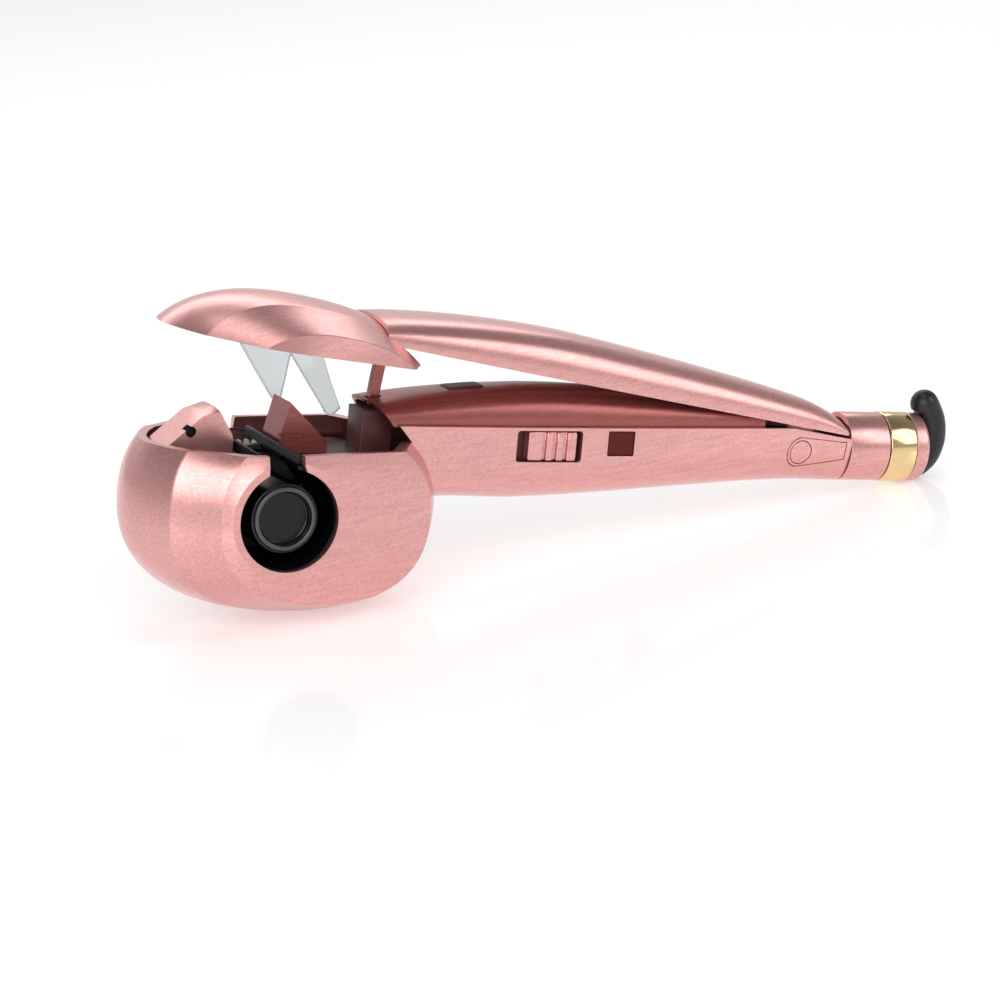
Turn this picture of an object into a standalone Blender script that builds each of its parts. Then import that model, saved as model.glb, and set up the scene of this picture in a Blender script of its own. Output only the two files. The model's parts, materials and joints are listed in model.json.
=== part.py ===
"""Automatic hair curler: a round curling head, a long handle and a spring-loaded arm with a cap.

Everything is modelled in the device's own frame and hung on one empty, device_frame. In that frame
the origin is on the curling chamber's axis, +X runs along the handle towards the tail, +Z is square
to the plane where the jaws part, and the chamber opens towards -Y. The empty leans the device so
that it rests on the flat under its head and on its tail. The arm is modelled shut and hangs on a
second empty at its hinge, which holds it open.
"""

import bmesh
import bpy
from math import asin, atan2, ceil, cos, hypot, pi, radians, sin, tan
from mathutils import Matrix, Vector

MM = 0.001

# ---------------------------------------------------------------- driving dimensions
GAP = 0.3 * MM  # between pieces that touch
SHELL_WALL = 2.2 * MM
ARM_WALL = 2.0 * MM

HEAD_X = 8.8 * MM  # middle of the head, seen from the side
HEAD_Z = 0.6 * MM
HEAD_HALF_LENGTH = 56.0 * MM
HEAD_HALF_HEIGHT = 38.0 * MM
HEAD_HALF_WIDTH = 36.3 * MM  # to the flat round the chamber's mouth
HEAD_SQUARENESS = 2.35
BELT_HALF_SIDE = 24.0 * MM  # where the crowned belt ends: at the nose, and at the top
BELT_HALF_TOP = 15.0 * MM
BELT_LENGTH_DROP = 9.0 * MM
BELT_HEIGHT_DROP = 1.8 * MM
FACE_HALF_SIDE = 34.6 * MM  # where the flat side face begins
FACE_HALF_TOP = 32.6 * MM
FACE_X = 14.0 * MM
FACE_HALF_LENGTH = 37.6 * MM
FACE_HALF_HEIGHT = 30.2 * MM

RIM_Z = 22.0 * MM  # parting line of the head at x = 0
RIM_SLOPE = 0.04
CAP_RISE = 0.9 * MM  # the shut cap's rim above the bowl's, at x = 0
CAP_SLOPE = 0.052

SEAM_Z = 29.6 * MM  # top edge of the handle's lower half
HANDLE_END_X = 222.4 * MM
HANDLE_START_X = 20.0 * MM
PANEL_LOW_Z = 11.0 * MM  # lower edge of the flat side panel, at PANEL_LOW_X
PANEL_LOW_X = 58.0 * MM
PANEL_RISE = 0.088
HANDLE_SQUARENESS = 2.3
COVER_INSET = 3.0 * MM  # the top cover's side behind the side panel
COVER_DROP = 3.0 * MM  # the top cover's crown under the shut arm's crown
COVER_WALL = 2.0 * MM
COVER_END_X = 187.0 * MM
COVER_LOW_Z = 28.8 * MM
COVER_FRONT_X = 36.8 * MM  # front edge of the top cover, at COVER_FRONT_Z
COVER_FRONT_Z = 37.0 * MM
COVER_FRONT_LEAN = 0.75

PIVOT_X = 201.5 * MM
PIVOT_Z = 20.8 * MM
OPEN_ANGLE = radians(9.5)
PIN_RADIUS = 2.0 * MM
PIN_HEAD_RADIUS = 4.2 * MM
LUG_INNER = 7.6 * MM
LUG_OUTER = 9.2 * MM
LUG_RADIUS = 5.2 * MM
PIN_HALF = 9.8 * MM

ARM_START_X = 33.0 * MM
CAP_SCREW_Z = 31.7 * MM
ARM_END_X = 219.5 * MM

CHAMBER_RADIUS = 17.3 * MM
CHAMBER_WALL = 1.4 * MM
PORT_RADIUS = 17.5 * MM
CHAMBER_FRONT_Y = -CAP_SCREW_Z
CHAMBER_BACK_Y = 2.4 * MM
BARREL_RADIUS = 12.0 * MM
BARREL_FRONT_Y = -31.5 * MM
THROAT_X0 = -8.4 * MM
THROAT_X1 = 2.6 * MM
SLOT_X0 = -8.45 * MM
SLOT_X1 = 3.9 * MM

GEAR_MODULE = 0.9 * MM
ROTOR_TEETH = 40
IDLER_TEETH = 16
PINION_TEETH = 10
GEAR_Y = 8.0 * MM
GEAR_WIDTH = 3.0 * MM
IDLER_DIRECTION = radians(-20.0)
PINION_DIRECTION = radians(-75.0)
MOTOR_RADIUS = 7.6 * MM
MOTOR_LENGTH = 24.0 * MM

DECK_Z = 17.3 * MM
DECK_THICK = 2.0 * MM
ROD_X = 40.3 * MM
ROD_SIZE = 3.6 * MM
ROD_TIP_Z = 6.5 * MM
HOUSING_TOP = 32.4 * MM
PLUNGER_TRAVEL = 2.3 * MM
PLUNGER_RADIUS = 2.2 * MM

SWITCH_X0 = 88.0 * MM
SWITCH_X1 = 113.0 * MM
SWITCH_Z0 = 17.6 * MM
SWITCH_Z1 = 28.6 * MM
KNOB_X0 = 92.6 * MM
KNOB_LENGTH = 18.2 * MM
LENS_X0 = 123.0 * MM
LENS_X1 = 133.4 * MM
LENS_Z0 = 19.8 * MM

TAIL_RADIUS = 12.3 * MM
TAIL_WALL = 1.8 * MM
SLEEVE_END_X = 238.6 * MM
BAND_END_X = 249.4 * MM
BAND_PROUD = 0.25 * MM
TAIL_END_X = 255.0 * MM
SWIVEL_RADIUS = 6.4 * MM
RELIEF_RADIUS = 5.2 * MM

FIN_Y = 25.0 * MM
FIN_THICK = 2.2 * MM
REST_FLAT_DEPTH = 0.5 * MM  # how far the flat under the head cuts into its round belly
REST_X = 21.5 * MM  # from under the chamber's axis to the middle of that flat

# Height of the arm's crown, half width of arm and handle, and height of the handle's keel, each
# as (x, value) stations that smooth curves pass through.
ARM_CROWN = [(30, 36.6), (36, 38.2), (43, 39.6), (60, 42.0), (80, 43.8), (103, 44.7),
             (136, 43.6), (169, 41.8), (201.5, 39.0), (212, 36.8), (217, 34.6), (219.5, 32.6)]
HALF_WIDTH = [(20, 18.6), (40, 19.6), (60, 20.0), (100, 19.5), (140, 18.0), (170, 16.3),
              (201.5, 14.2), (222.4, 12.3)]
KEEL = [(20, -1.0), (45, 1.2), (67, 2.4), (93, 2.0), (123, 3.6), (160, 6.4), (198, 8.8),
        (222.4, 8.5)]


# ---------------------------------------------------------------- small tools
def lerp(a, b, t):
    return a + (b - a) * t


def along(stations, x):
    """The smooth curve through the stations, read at x (metres)."""
    pts = [(px * MM, pv * MM) for px, pv in stations]
    x = min(max(x, pts[0][0]), pts[-1][0])
    i = max(k for k in range(len(pts) - 1) if pts[k][0] <= x)
    (x1, v1), (x2, v2) = pts[i], pts[i + 1]
    x0, v0 = pts[i - 1] if i else (2 * x1 - x2, 2 * v1 - v2)
    x3, v3 = pts[i + 2] if i + 2 < len(pts) else (2 * x2 - x1, 2 * v2 - v1)
    span = x2 - x1
    m1 = (v2 - v0) / (x2 - x0) * span
    m2 = (v3 - v1) / (x3 - x1) * span
    t = (x - x1) / span
    return (
        (2 * t**3 - 3 * t**2 + 1) * v1
        + (t**3 - 2 * t**2 + t) * m1
        + (3 * t**2 - 2 * t**3) * v2
        + (t**3 - t**2) * m2
    )


def signed_power(value, power):
    return abs(value) ** power * (1 if value >= 0 else -1)


def material(name, color, roughness, metallic=0.0, transmission=0.0):
    made = bpy.data.materials.new(name)
    made.use_nodes = True
    shader = made.node_tree.nodes["Principled BSDF"]
    shader.inputs["Base Color"].default_value = (*color, 1.0)
    shader.inputs["Roughness"].default_value = roughness
    shader.inputs["Metallic"].default_value = metallic
    shader.inputs["Transmission Weight"].default_value = transmission
    made.diffuse_color = (*color, 1.0)
    return made


def to_object(name, bm):
    """A linked object that holds the mesh, with its faces pointing out."""
    bmesh.ops.recalc_face_normals(bm, faces=bm.faces)
    mesh = bpy.data.meshes.new(name)
    bm.to_mesh(mesh)
    bm.free()
    made = bpy.data.objects.new(name, mesh)
    bpy.context.scene.collection.objects.link(made)
    return made


def combine(target, tool, operation):
    """Joins the tool to the target, or cuts it away, or keeps what both share, and removes the tool."""
    step = target.modifiers.new("combine", "BOOLEAN")
    step.operation = operation
    step.object = tool
    bpy.context.view_layer.update()
    graph = bpy.context.evaluated_depsgraph_get()
    mesh = bpy.data.meshes.new_from_object(target.evaluated_get(graph))
    target.modifiers.clear()
    target.data = mesh
    bpy.data.objects.remove(tool)
    return target


def cut(target, *tools):
    for tool in tools:
        combine(target, tool, "DIFFERENCE")
    return target


def join(target, *tools):
    for tool in tools:
        combine(target, tool, "UNION")
    return target


def keep(target, tool):
    return combine(target, tool, "INTERSECT")


def copy_of(source):
    made = source.copy()
    made.data = source.data.copy()
    bpy.context.scene.collection.objects.link(made)
    return made


def clean(piece):
    """Merges the doubled points that a cut leaves and removes faces without area."""
    bm = bmesh.new()
    bm.from_mesh(piece.data)
    bmesh.ops.remove_doubles(bm, verts=bm.verts, dist=0.012 * MM)
    bmesh.ops.dissolve_degenerate(bm, dist=0.012 * MM, edges=bm.edges)
    bmesh.ops.triangulate(bm, faces=bm.faces, quad_method="BEAUTY", ngon_method="BEAUTY")
    bmesh.ops.recalc_face_normals(bm, faces=bm.faces)
    bm.to_mesh(piece.data)
    bm.free()


def settle(piece, finish, parent, origin=(0, 0, 0), smooth=35.0):
    """Gives a finished piece its material, its parent and its origin, which is in the device's frame."""
    clean(piece)
    piece.data.transform(Matrix.Translation(-Vector(origin)))
    piece.data.materials.clear()
    piece.data.materials.append(finish)
    piece.data.shade_smooth()
    piece.data.set_sharp_from_angle(angle=radians(smooth))
    piece.parent = parent
    piece.location = Vector(origin) - Vector(parent["origin"])
    return piece


AXES = {
    "x": lambda u, v, h: (h, u, v),
    "y": lambda u, v, h: (u, h, v),
    "z": lambda u, v, h: (u, v, h),
}


def prism(name, outline, axis, low, high):
    """An outline pushed from low to high along an axis: (y, z) along x, (x, z) along y, (x, y) along z."""
    bm = bmesh.new()
    put = AXES[axis]
    loops = [[bm.verts.new(put(u, v, h)) for u, v in outline] for h in (low, high)]
    bm.faces.new(loops[0])
    bm.faces.new(loops[1][::-1])
    count = len(outline)
    for i in range(count):
        j = (i + 1) % count
        bm.faces.new((loops[0][i], loops[0][j], loops[1][j], loops[1][i]))
    return to_object(name, bm)


def block(name, x, y, z, bevel=0.0):
    """A box from its three (low, high) pairs, with its edges rounded off by bevel."""
    made = prism(name, [(x[0], y[0]), (x[1], y[0]), (x[1], y[1]), (x[0], y[1])], "z", *z)
    if bevel:
        bm = bmesh.new()
        bm.from_mesh(made.data)
        bmesh.ops.bevel(bm, geom=bm.edges, offset=bevel, segments=2, profile=0.5, affect="EDGES")
        bm.to_mesh(made.data)
        bm.free()
    return made


def turned(name, profile, axis, centre=(0, 0), sides=32, turn=0.0):
    """A body turned round an axis through centre, from (radius, height) points. A point on the axis
    closes that end, and a profile with none on the axis is a ring."""
    bm = bmesh.new()
    put = AXES[axis]
    rings = []
    for radius, height in profile:
        if radius < 1e-9:
            rings.append([bm.verts.new(put(*centre, height))])
            continue
        angles = [turn + 2 * pi * k / sides for k in range(sides)]
        rings.append([bm.verts.new(put(centre[0] + radius * cos(a), centre[1] + radius * sin(a), height))
                      for a in angles])
    pairs = list(zip(rings, rings[1:]))
    if len(rings[0]) > 1 and len(rings[-1]) > 1:
        pairs.append((rings[-1], rings[0]))
    for a, b in pairs:
        for k in range(sides):
            n = (k + 1) % sides
            corners = [a[k % len(a)], a[n % len(a)], b[n % len(b)], b[k % len(b)]]
            distinct = list(dict.fromkeys(corners))
            if len(distinct) > 2:
                bm.faces.new(distinct)
    return to_object(name, bm)


def rod(name, radius, axis, low, high, centre=(0, 0), sides=24):
    return turned(name, [(0, low), (radius, low), (radius, high), (0, high)], axis, centre, sides)


def tube(name, outer, inner, axis, low, high, centre=(0, 0), sides=32):
    profile = [(inner, low), (outer, low), (outer, high), (inner, high)]
    return turned(name, profile, axis, centre, sides)


def loft(name, rings):
    """A skin over rings of points, closed by a face at each end."""
    bm = bmesh.new()
    made = [[bm.verts.new(p) for p in ring] for ring in rings]
    for a, b in zip(made, made[1:]):
        for i in range(len(a)):
            j = (i + 1) % len(a)
            bm.faces.new((a[i], a[j], b[j], b[i]))
    bm.faces.new(made[0][::-1])
    bm.faces.new(made[-1])
    return to_object(name, bm)


def swept(name, path, radii, sides=12):
    """A round bar along a path of points, with a radius at each. Its rings don't twist on the way."""
    rings = []
    side = Vector((0, 1, 0))
    for i, point in enumerate(path):
        ahead = (path[min(i + 1, len(path) - 1)] - path[max(i - 1, 0)]).normalized()
        if abs(ahead.dot(side)) > 0.98:
            side = Vector((1, 0, 0))
        side = (side - ahead * side.dot(ahead)).normalized()
        other = ahead.cross(side)
        angles = [2 * pi * k / sides for k in range(sides)]
        rings.append([point + (side * cos(a) + other * sin(a)) * radii[i] for a in angles])
    return loft(name, rings)


def coil(name, centre, axis, low, high, radius, wire, turns, steps=14, sides=6):
    """A wound spring: a helix of wire from low to high along an axis."""
    put = AXES[axis]
    count = ceil(turns * steps)
    path = []
    for k in range(count + 1):
        a = 2 * pi * k / steps
        height = lerp(low, high, k / count)
        path.append(Vector(put(centre[0] + radius * cos(a), centre[1] + radius * sin(a), height)))
    return swept(name, path, [wire] * len(path), sides)


def gear(name, teeth, centre, bore, phase, low, high, hub=None):
    """A spur gear round the y axis: straight-flanked teeth on the module's pitch circle."""
    pitch = teeth * GEAR_MODULE / 2
    root = pitch - 1.15 * GEAR_MODULE
    tip = pitch + 0.85 * GEAR_MODULE
    step = 2 * pi / teeth
    outline = []
    for k in range(teeth):
        middle = phase + k * step
        for radius, share in ((root, -0.31), (tip, -0.11), (tip, 0.11), (root, 0.31)):
            a = middle + share * step
            outline.append((centre[0] + radius * cos(a), centre[1] + radius * sin(a)))
    made = prism(name, outline, "y", low, high)
    if hub:
        join(made, rod("hub", hub[0], "y", hub[1], hub[2], centre))
    span = [low, high] + ([hub[1], hub[2]] if hub else [])
    return cut(made, rod("bore", bore, "y", min(span) - MM, max(span) + MM, centre))


# ---------------------------------------------------------------- the shapes that pieces share
def head_ring(share, inset, sides):
    """One ring of the head. share runs from 0 at the middle plane, through 1 at the belt's edge and
    2 at the flat side face, to 3 at the chamber's mouth."""
    ring = []
    for k in range(sides):
        a = 2 * pi * k / sides
        level = abs(sin(a)) ** 2
        belt = lerp(BELT_HALF_SIDE, BELT_HALF_TOP, level)
        face = lerp(FACE_HALF_SIDE, FACE_HALF_TOP, level)
        power = 2 / HEAD_SQUARENESS
        belt_size = (HEAD_X, HEAD_HALF_LENGTH - BELT_LENGTH_DROP, HEAD_HALF_HEIGHT - BELT_HEIGHT_DROP)
        face_size = (FACE_X, FACE_HALF_LENGTH, FACE_HALF_HEIGHT)
        if share <= 1:
            t = share**2
            size = (HEAD_X, lerp(HEAD_HALF_LENGTH, belt_size[1], t), lerp(HEAD_HALF_HEIGHT, belt_size[2], t))
            y = belt * share
        elif share <= 2:
            t = share - 1
            size = tuple(lerp(p, q, t**1.1) for p, q in zip(belt_size, face_size))
            y = lerp(belt, face, t)
        else:
            t = share - 2
            mouth = PORT_RADIUS + 2.5 * MM
            size = (lerp(FACE_X, 0, t), lerp(FACE_HALF_LENGTH, mouth, t), lerp(FACE_HALF_HEIGHT, mouth, t))
            power = lerp(power, 1.0, t)
            y = lerp(face, HEAD_HALF_WIDTH, t)
        x = size[0] + (size[1] - inset) * signed_power(cos(a), power)
        z = HEAD_Z * (1 if share <= 2 else 3 - share) + (size[2] - inset) * signed_power(sin(a), power)
        ring.append((x, y * (1 - inset / HEAD_HALF_WIDTH), z))
    return ring


def head_solid(inset=0.0, sides=40):
    """The whole head as one closed body, drawn in all round by inset."""
    shares = [3, 2, 1.5, 1, 0.66, 0.33, 0]
    rings = [[(x, -y, z) for x, y, z in head_ring(s, inset, sides)] for s in shares]
    rings += [head_ring(s, inset, sides) for s in shares[-2::-1]]
    return loft("head", rings)


def panel_low(x):
    return min(PANEL_LOW_Z + (x - PANEL_LOW_X) * PANEL_RISE, 24.0 * MM)


def handle_half(x, inset, top):
    """Half of the handle's section at x: (y, z) points from the keel up to the top edge."""
    keel, half = along(KEEL, x), along(HALF_WIDTH, x)
    middle = SEAM_Z
    low = panel_low(x)
    reach = (middle - low) / (middle - keel)
    swell = half / (1 - reach**HANDLE_SQUARENESS) ** (1 / HANDLE_SQUARENESS)
    points = []
    steps = 8
    end = asin(1.0) * 0.98
    for k in range(steps + 1):
        a = end * k / steps
        y = swell * sin(a) ** (2 / HANDLE_SQUARENESS)
        z = middle - (middle - keel) * cos(a) ** (2 / HANDLE_SQUARENESS)
        points.append((min(y, half), min(z, middle)))
    points[0] = (0.0, keel)
    drawn = [(max(y - inset * min(1.0, y / (0.5 * half)), 0.0), z + inset * (1 - min(1.0, (z - keel) / (0.6 * (middle - keel)))))
             for y, z in points]
    drawn.append((half - inset, top))
    return drawn


def handle_solid(inset=0.0, top=SEAM_Z + 2 * MM, start=HANDLE_START_X, end=HANDLE_END_X):
    """The handle's lower half as one closed body up to the height top."""
    rings = []
    count = 13
    for k in range(count + 1):
        x = lerp(start, end, k / count)
        half = handle_half(x, inset, top)
        rings.append([(x, y, z) for y, z in half] + [(x, -y, z) for y, z in half[:0:-1]])
    return loft("handle", rings)


def arch_section(half, crown, low, squareness, steps=7):
    """An arched section from one foot over the crown to the other: (y, z) points."""
    points = []
    foot = max(SEAM_Z, low + 0.4 * MM)
    for k in range(2 * steps + 1):
        a = pi * k / (2 * steps)
        y = half * signed_power(cos(a), 2 / squareness)
        z = foot + (crown - foot) * abs(sin(a)) ** (2 / squareness)
        points.append((y, z))
    return [(half, low), *points, (-half, low)]


def arch_solid(inset_side, inset_top, low, start, end, squareness=2.7, count=12, blunt=True):
    """The body that arm and top cover share, drawn in at its sides and its crown."""
    rings = []
    for k in range(count + 1):
        x = lerp(start, end, k / count)
        half = along(HALF_WIDTH, x) - inset_side
        crown = along(ARM_CROWN, x if blunt else min(x, 201.5 * MM)) - inset_top
        rings.append([(x, y, z) for y, z in arch_section(half, crown, low, squareness)])
    return loft("arch", rings)


def rim_cutter(name, rise, slope, above):
    """Everything above or below the head's parting plane."""
    reach = 120 * MM
    far = (-reach, RIM_Z + rise - slope * reach), (reach, RIM_Z + rise + slope * reach)
    level = reach if above else -reach
    return prism(name, [far[0], far[1], (reach, level), (-reach, level)], "y", -reach, reach)


def side_hole(name, x, z, low, high, corner=1.2 * MM):
    """A round-cornered bar along y, for openings in the handle's side."""
    made = prism(name, [(x[0], z[0]), (x[1], z[0]), (x[1], z[1]), (x[0], z[1])], "y", low, high)
    bm = bmesh.new()
    bm.from_mesh(made.data)
    edges = [e for e in bm.edges if abs(e.verts[0].co.y - e.verts[1].co.y) > 1e-6]
    bmesh.ops.bevel(bm, geom=edges, offset=corner, segments=3, profile=0.5, affect="EDGES")
    bm.to_mesh(made.data)
    bm.free()
    return made


def tongue_outline(grow=0.0):
    """The long flat tongue round the hinge's end, as (x, z) points."""
    radius = 5.4 * MM + grow
    points = []
    for k in range(9):
        a = radians(98 + 164 * k / 8)
        points.append((PIVOT_X + radius * cos(a), PIVOT_Z + radius * sin(a)))
    tip = PIVOT_X + 18.6 * MM + grow
    points += [(tip, PIVOT_Z - 2.6 * MM - grow), (tip, PIVOT_Z + 3.4 * MM + grow)]
    return points


def rest_lean():
    """The lean that sets the tail's band and the flat under the head on one level."""
    def tail_height(lean):
        flat = hypot(HEAD_HALF_LENGTH * sin(lean), HEAD_HALF_HEIGHT * cos(lean)) - REST_FLAT_DEPTH
        belly = -HEAD_X * sin(lean) + HEAD_Z * cos(lean) - flat
        edge = BAND_END_X
        return -edge * sin(lean) + (PIVOT_Z - TAIL_RADIUS - BAND_PROUD) * cos(lean) - belly
    low, high = radians(2), radians(25)
    for _ in range(40):
        middle = (low + high) / 2
        low, high = (middle, high) if tail_height(middle) > 0 else (low, middle)
    return low


# ---------------------------------------------------------------- the scene
for old in list(bpy.data.objects):
    bpy.data.objects.remove(old)

rose = material("rose_gold_lacquer", (0.62, 0.30, 0.29), 0.34, 0.75)
rose_dark = material("rose_gold_moulding", (0.50, 0.22, 0.22), 0.40, 0.55)
maroon = material("maroon_plastic", (0.085, 0.022, 0.028), 0.30)
black = material("black_nylon", (0.012, 0.012, 0.014), 0.45)
ceramic = material("black_ceramic", (0.015, 0.015, 0.018), 0.22)
clear = material("clear_polycarbonate", (0.90, 0.92, 0.94), 0.08, 0.0, 0.9)
gold = material("polished_gold", (0.83, 0.62, 0.26), 0.14, 1.0)
steel = material("plain_steel", (0.55, 0.56, 0.58), 0.32, 1.0)
silver = material("silver_ring", (0.35, 0.36, 0.38), 0.30, 0.8)
acetal = material("white_acetal", (0.78, 0.77, 0.72), 0.42)
board_green = material("circuit_board", (0.02, 0.16, 0.07), 0.45)
rubber = material("black_rubber", (0.018, 0.018, 0.018), 0.75)
lens_red = material("smoked_red_lens", (0.10, 0.012, 0.012), 0.12)
brass = material("brass_winding", (0.55, 0.35, 0.15), 0.40, 0.9)

LEAN = rest_lean()
FLAT_LEVEL = hypot(HEAD_HALF_LENGTH * sin(LEAN), HEAD_HALF_HEIGHT * cos(LEAN)) - REST_FLAT_DEPTH
LIFT = FLAT_LEVEL + HEAD_X * sin(LEAN) - HEAD_Z * cos(LEAN)


def empty(name, parent, origin, spin):
    made = bpy.data.objects.new(name, None)
    bpy.context.scene.collection.objects.link(made)
    made["origin"] = origin
    made.rotation_euler = (0, spin, 0)
    if parent:
        made.parent = parent
        made.location = Vector(origin) - Vector(parent["origin"])
    return made


device = empty("device_frame", None, (0.0, 0.0, 0.0), LEAN)
device.location = (-REST_X, 0, LIFT)
arm_frame = empty("arm_hinge_frame", device, (PIVOT_X, 0.0, PIVOT_Z), OPEN_ANGLE)


def below_floor():
    """What lies under the level the device rests on, in the device's frame."""
    made = block("floor", (-150 * MM, 350 * MM), (-80 * MM, 80 * MM), (-200 * MM, 0))
    made.data.transform(Matrix.Rotation(-LEAN, 4, "Y") @ Matrix.Translation((0, 0, -LIFT)))
    return made


# ---------------------------------------------------------------- casings
def lower_shell():
    """The bowl under the chamber and the handle's lower half, moulded in one."""
    shell = join(head_solid(), handle_solid())
    hollow = join(head_solid(SHELL_WALL),
                  handle_solid(SHELL_WALL, SEAM_Z + 3 * MM, HANDLE_START_X, HANDLE_END_X - 2 * MM))
    cut(shell, hollow)
    for x, z in CHASSIS_SCREWS:
        boss = rod("boss", BOSS_RADIUS, "y", CHASSIS_Y + CHASSIS_THICK + GAP, 40 * MM, (x, z), 16)
        join(shell, keep(boss, head_solid(1.1 * MM)))
        cut(shell, rod("thread", 1.7 * MM, "y", 10 * MM, 26 * MM, (x, z), 12))
    top = 90 * MM
    ledge_drop = tan(OPEN_ANGLE)
    step_x = PIVOT_X - 4 * MM
    outline = [
        (-90 * MM, RIM_Z - RIM_SLOPE * 90 * MM),
        (49 * MM, RIM_Z + RIM_SLOPE * 49 * MM),
        (44 * MM, SEAM_Z),
        (step_x, SEAM_Z),
        (240 * MM, SEAM_Z - (240 * MM - step_x) * ledge_drop),
        (240 * MM, top),
        (-90 * MM, top),
    ]
    cut(shell, prism("above", outline, "y", -60 * MM, 60 * MM))
    cut(shell, rod("mouth", PORT_RADIUS, "y", -50 * MM, -20 * MM, sides=48))
    flare = [(SLOT_X0, 12.4 * MM), (9.9 * MM, 12.4 * MM), (9.9 * MM, 13.9 * MM), (6.0 * MM, 16.4 * MM),
             (SLOT_X1, 20.4 * MM), (SLOT_X1, 40 * MM), (SLOT_X0, 40 * MM)]
    cut(shell, prism("slot", flare, "y", -50 * MM, -20 * MM))
    cut(shell, block("far_slot", (SLOT_X0, SLOT_X1), (20 * MM, 50 * MM), (17.5 * MM, 40 * MM)))
    side = along(HALF_WIDTH, SWITCH_X0)
    cut(shell, side_hole("switch", (SWITCH_X0, SWITCH_X1), (SWITCH_Z0, SWITCH_Z1), -side - MM, -side + 6 * MM))
    cut(shell, side_hole("window", (LENS_X0, LENS_X1), (LENS_Z0, SWITCH_Z1), -side - MM, -side + 6 * MM, 0.5 * MM))
    clear = (-LUG_OUTER - 0.5 * MM, LUG_OUTER + 0.5 * MM)
    around = LUG_RADIUS + 0.6 * MM
    swing = around + (SEAM_Z - PIVOT_Z) * tan(OPEN_ANGLE)
    room = rod("lug_room", around, "y", *clear, (PIVOT_X, PIVOT_Z))
    above = block("above", (PIVOT_X - swing, PIVOT_X + swing), clear, (PIVOT_Z + 2 * MM, 33.3 * MM))
    cut(shell, room)
    cut(shell, above)
    for sign in (-1, 1):
        low, high = sorted((sign * 7 * MM, sign * 20 * MM))
        pocket = prism("pocket", tongue_outline(GAP), "y", low, high)
        cut(pocket, handle_solid(1.3 * MM, SEAM_Z + 8 * MM, 160 * MM, 221 * MM))
        cut(shell, pocket)
        cut(shell, rod("pin_hole", PIN_HEAD_RADIUS + GAP, "y", low, high, (PIVOT_X, PIVOT_Z)))
    cut(shell, below_floor())
    shell.name = "lower_shell"
    return settle(shell, rose, device)


def top_cover():
    """The handle's upper cover, which the shut arm closes over."""
    cover = arch_solid(COVER_INSET, COVER_DROP, COVER_LOW_Z, 30 * MM, COVER_END_X, blunt=False)
    inner = arch_solid(COVER_INSET + COVER_WALL, COVER_DROP + COVER_WALL, COVER_LOW_Z - 5 * MM,
                       25 * MM, COVER_END_X + 5 * MM, blunt=False)
    cut(cover, inner)
    drop = 25 * MM
    front = [
        (COVER_FRONT_X - 10 * MM * COVER_FRONT_LEAN, COVER_FRONT_Z + 10 * MM),
        (COVER_FRONT_X + drop * COVER_FRONT_LEAN, COVER_FRONT_Z - drop),
        (0, COVER_FRONT_Z - drop),
        (0, COVER_FRONT_Z + 10 * MM),
    ]
    cut(cover, prism("front", front, "y", -40 * MM, 40 * MM))
    half = ROD_SIZE / 2 + 0.8 * MM
    rod_x = PIVOT_X - ((PIVOT_X - ROD_X) ** 2 - (37 * MM - PIVOT_Z) ** 2) ** 0.5
    cut(cover, block("rod_hole", (rod_x - half, rod_x + half), (-half, half), (30 * MM, 50 * MM)))
    bump = BUMP_SIZE[0] / 2 + GAP
    cut(cover, block("bump_hole", (BUMP_X - bump, BUMP_X + bump),
                     (-BUMP_SIZE[1] / 2 - GAP, BUMP_SIZE[1] / 2 + GAP), (30 * MM, 60 * MM)))
    cover.name = "top_cover"
    return settle(cover, rose_dark, device)


BUMP_X = 74.0 * MM
BUMP_SIZE = (13.0 * MM, 8.0 * MM)


def closing_bumper():
    """The pad that the shut arm comes to rest on."""
    crown = along(ARM_CROWN, BUMP_X) - COVER_DROP
    low, high = BUMP_X - BUMP_SIZE[0] / 2, BUMP_X + BUMP_SIZE[0] / 2
    outline = [(low, crown - COVER_WALL), (high, crown - COVER_WALL)]
    for k in range(5):
        x = lerp(high, low, k / 4)
        outline.append((x, along(ARM_CROWN, x) - ARM_WALL - GAP - 0.16 * MM))
    pad = prism("closing_bumper", outline, "y", -BUMP_SIZE[1] / 2, BUMP_SIZE[1] / 2)
    return settle(pad, rubber, device)


def arm_shell():
    """The channel-shaped arm with its two hinge lugs."""
    low = SEAM_Z + GAP
    arm = arch_solid(0.2 * MM, 0.0, low, ARM_START_X, ARM_END_X, count=14)
    inner = arch_solid(0.2 * MM + ARM_WALL, ARM_WALL, low - 8 * MM, ARM_START_X + 1.8 * MM,
                       ARM_END_X - ARM_WALL, count=14)
    cut(arm, inner)
    for sign in (-1, 1):
        upper = sorted((sign * (LUG_INNER + 0.17 * MM), sign * 13.0 * MM))
        lower = sorted((sign * LUG_INNER, sign * LUG_OUTER))
        join(arm, block("root", (PIVOT_X - 6.1 * MM, PIVOT_X + 5.7 * MM), upper, (low + GAP, 34.3 * MM)))
        outline = [(PIVOT_X - LUG_RADIUS, low + 2 * MM)]
        for k in range(9):
            a = pi + pi * k / 8
            outline.append((PIVOT_X + LUG_RADIUS * cos(a), PIVOT_Z + LUG_RADIUS * sin(a)))
        outline.append((PIVOT_X + LUG_RADIUS, low + 2 * MM))
        join(arm, prism("lug", outline, "y", *lower))
        cut(arm, rod("eye", PIN_RADIUS + GAP, "y", lower[0] - MM, lower[1] + MM, (PIVOT_X, PIVOT_Z)))
    for y in (-9 * MM, 9 * MM):
        cut(arm, rod("screw_hole", 1.7 * MM, "x", 25 * MM, 40 * MM, (y, CAP_SCREW_Z), 16))
    arm.name = "arm_shell"
    return settle(arm, rose, arm_frame)


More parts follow.
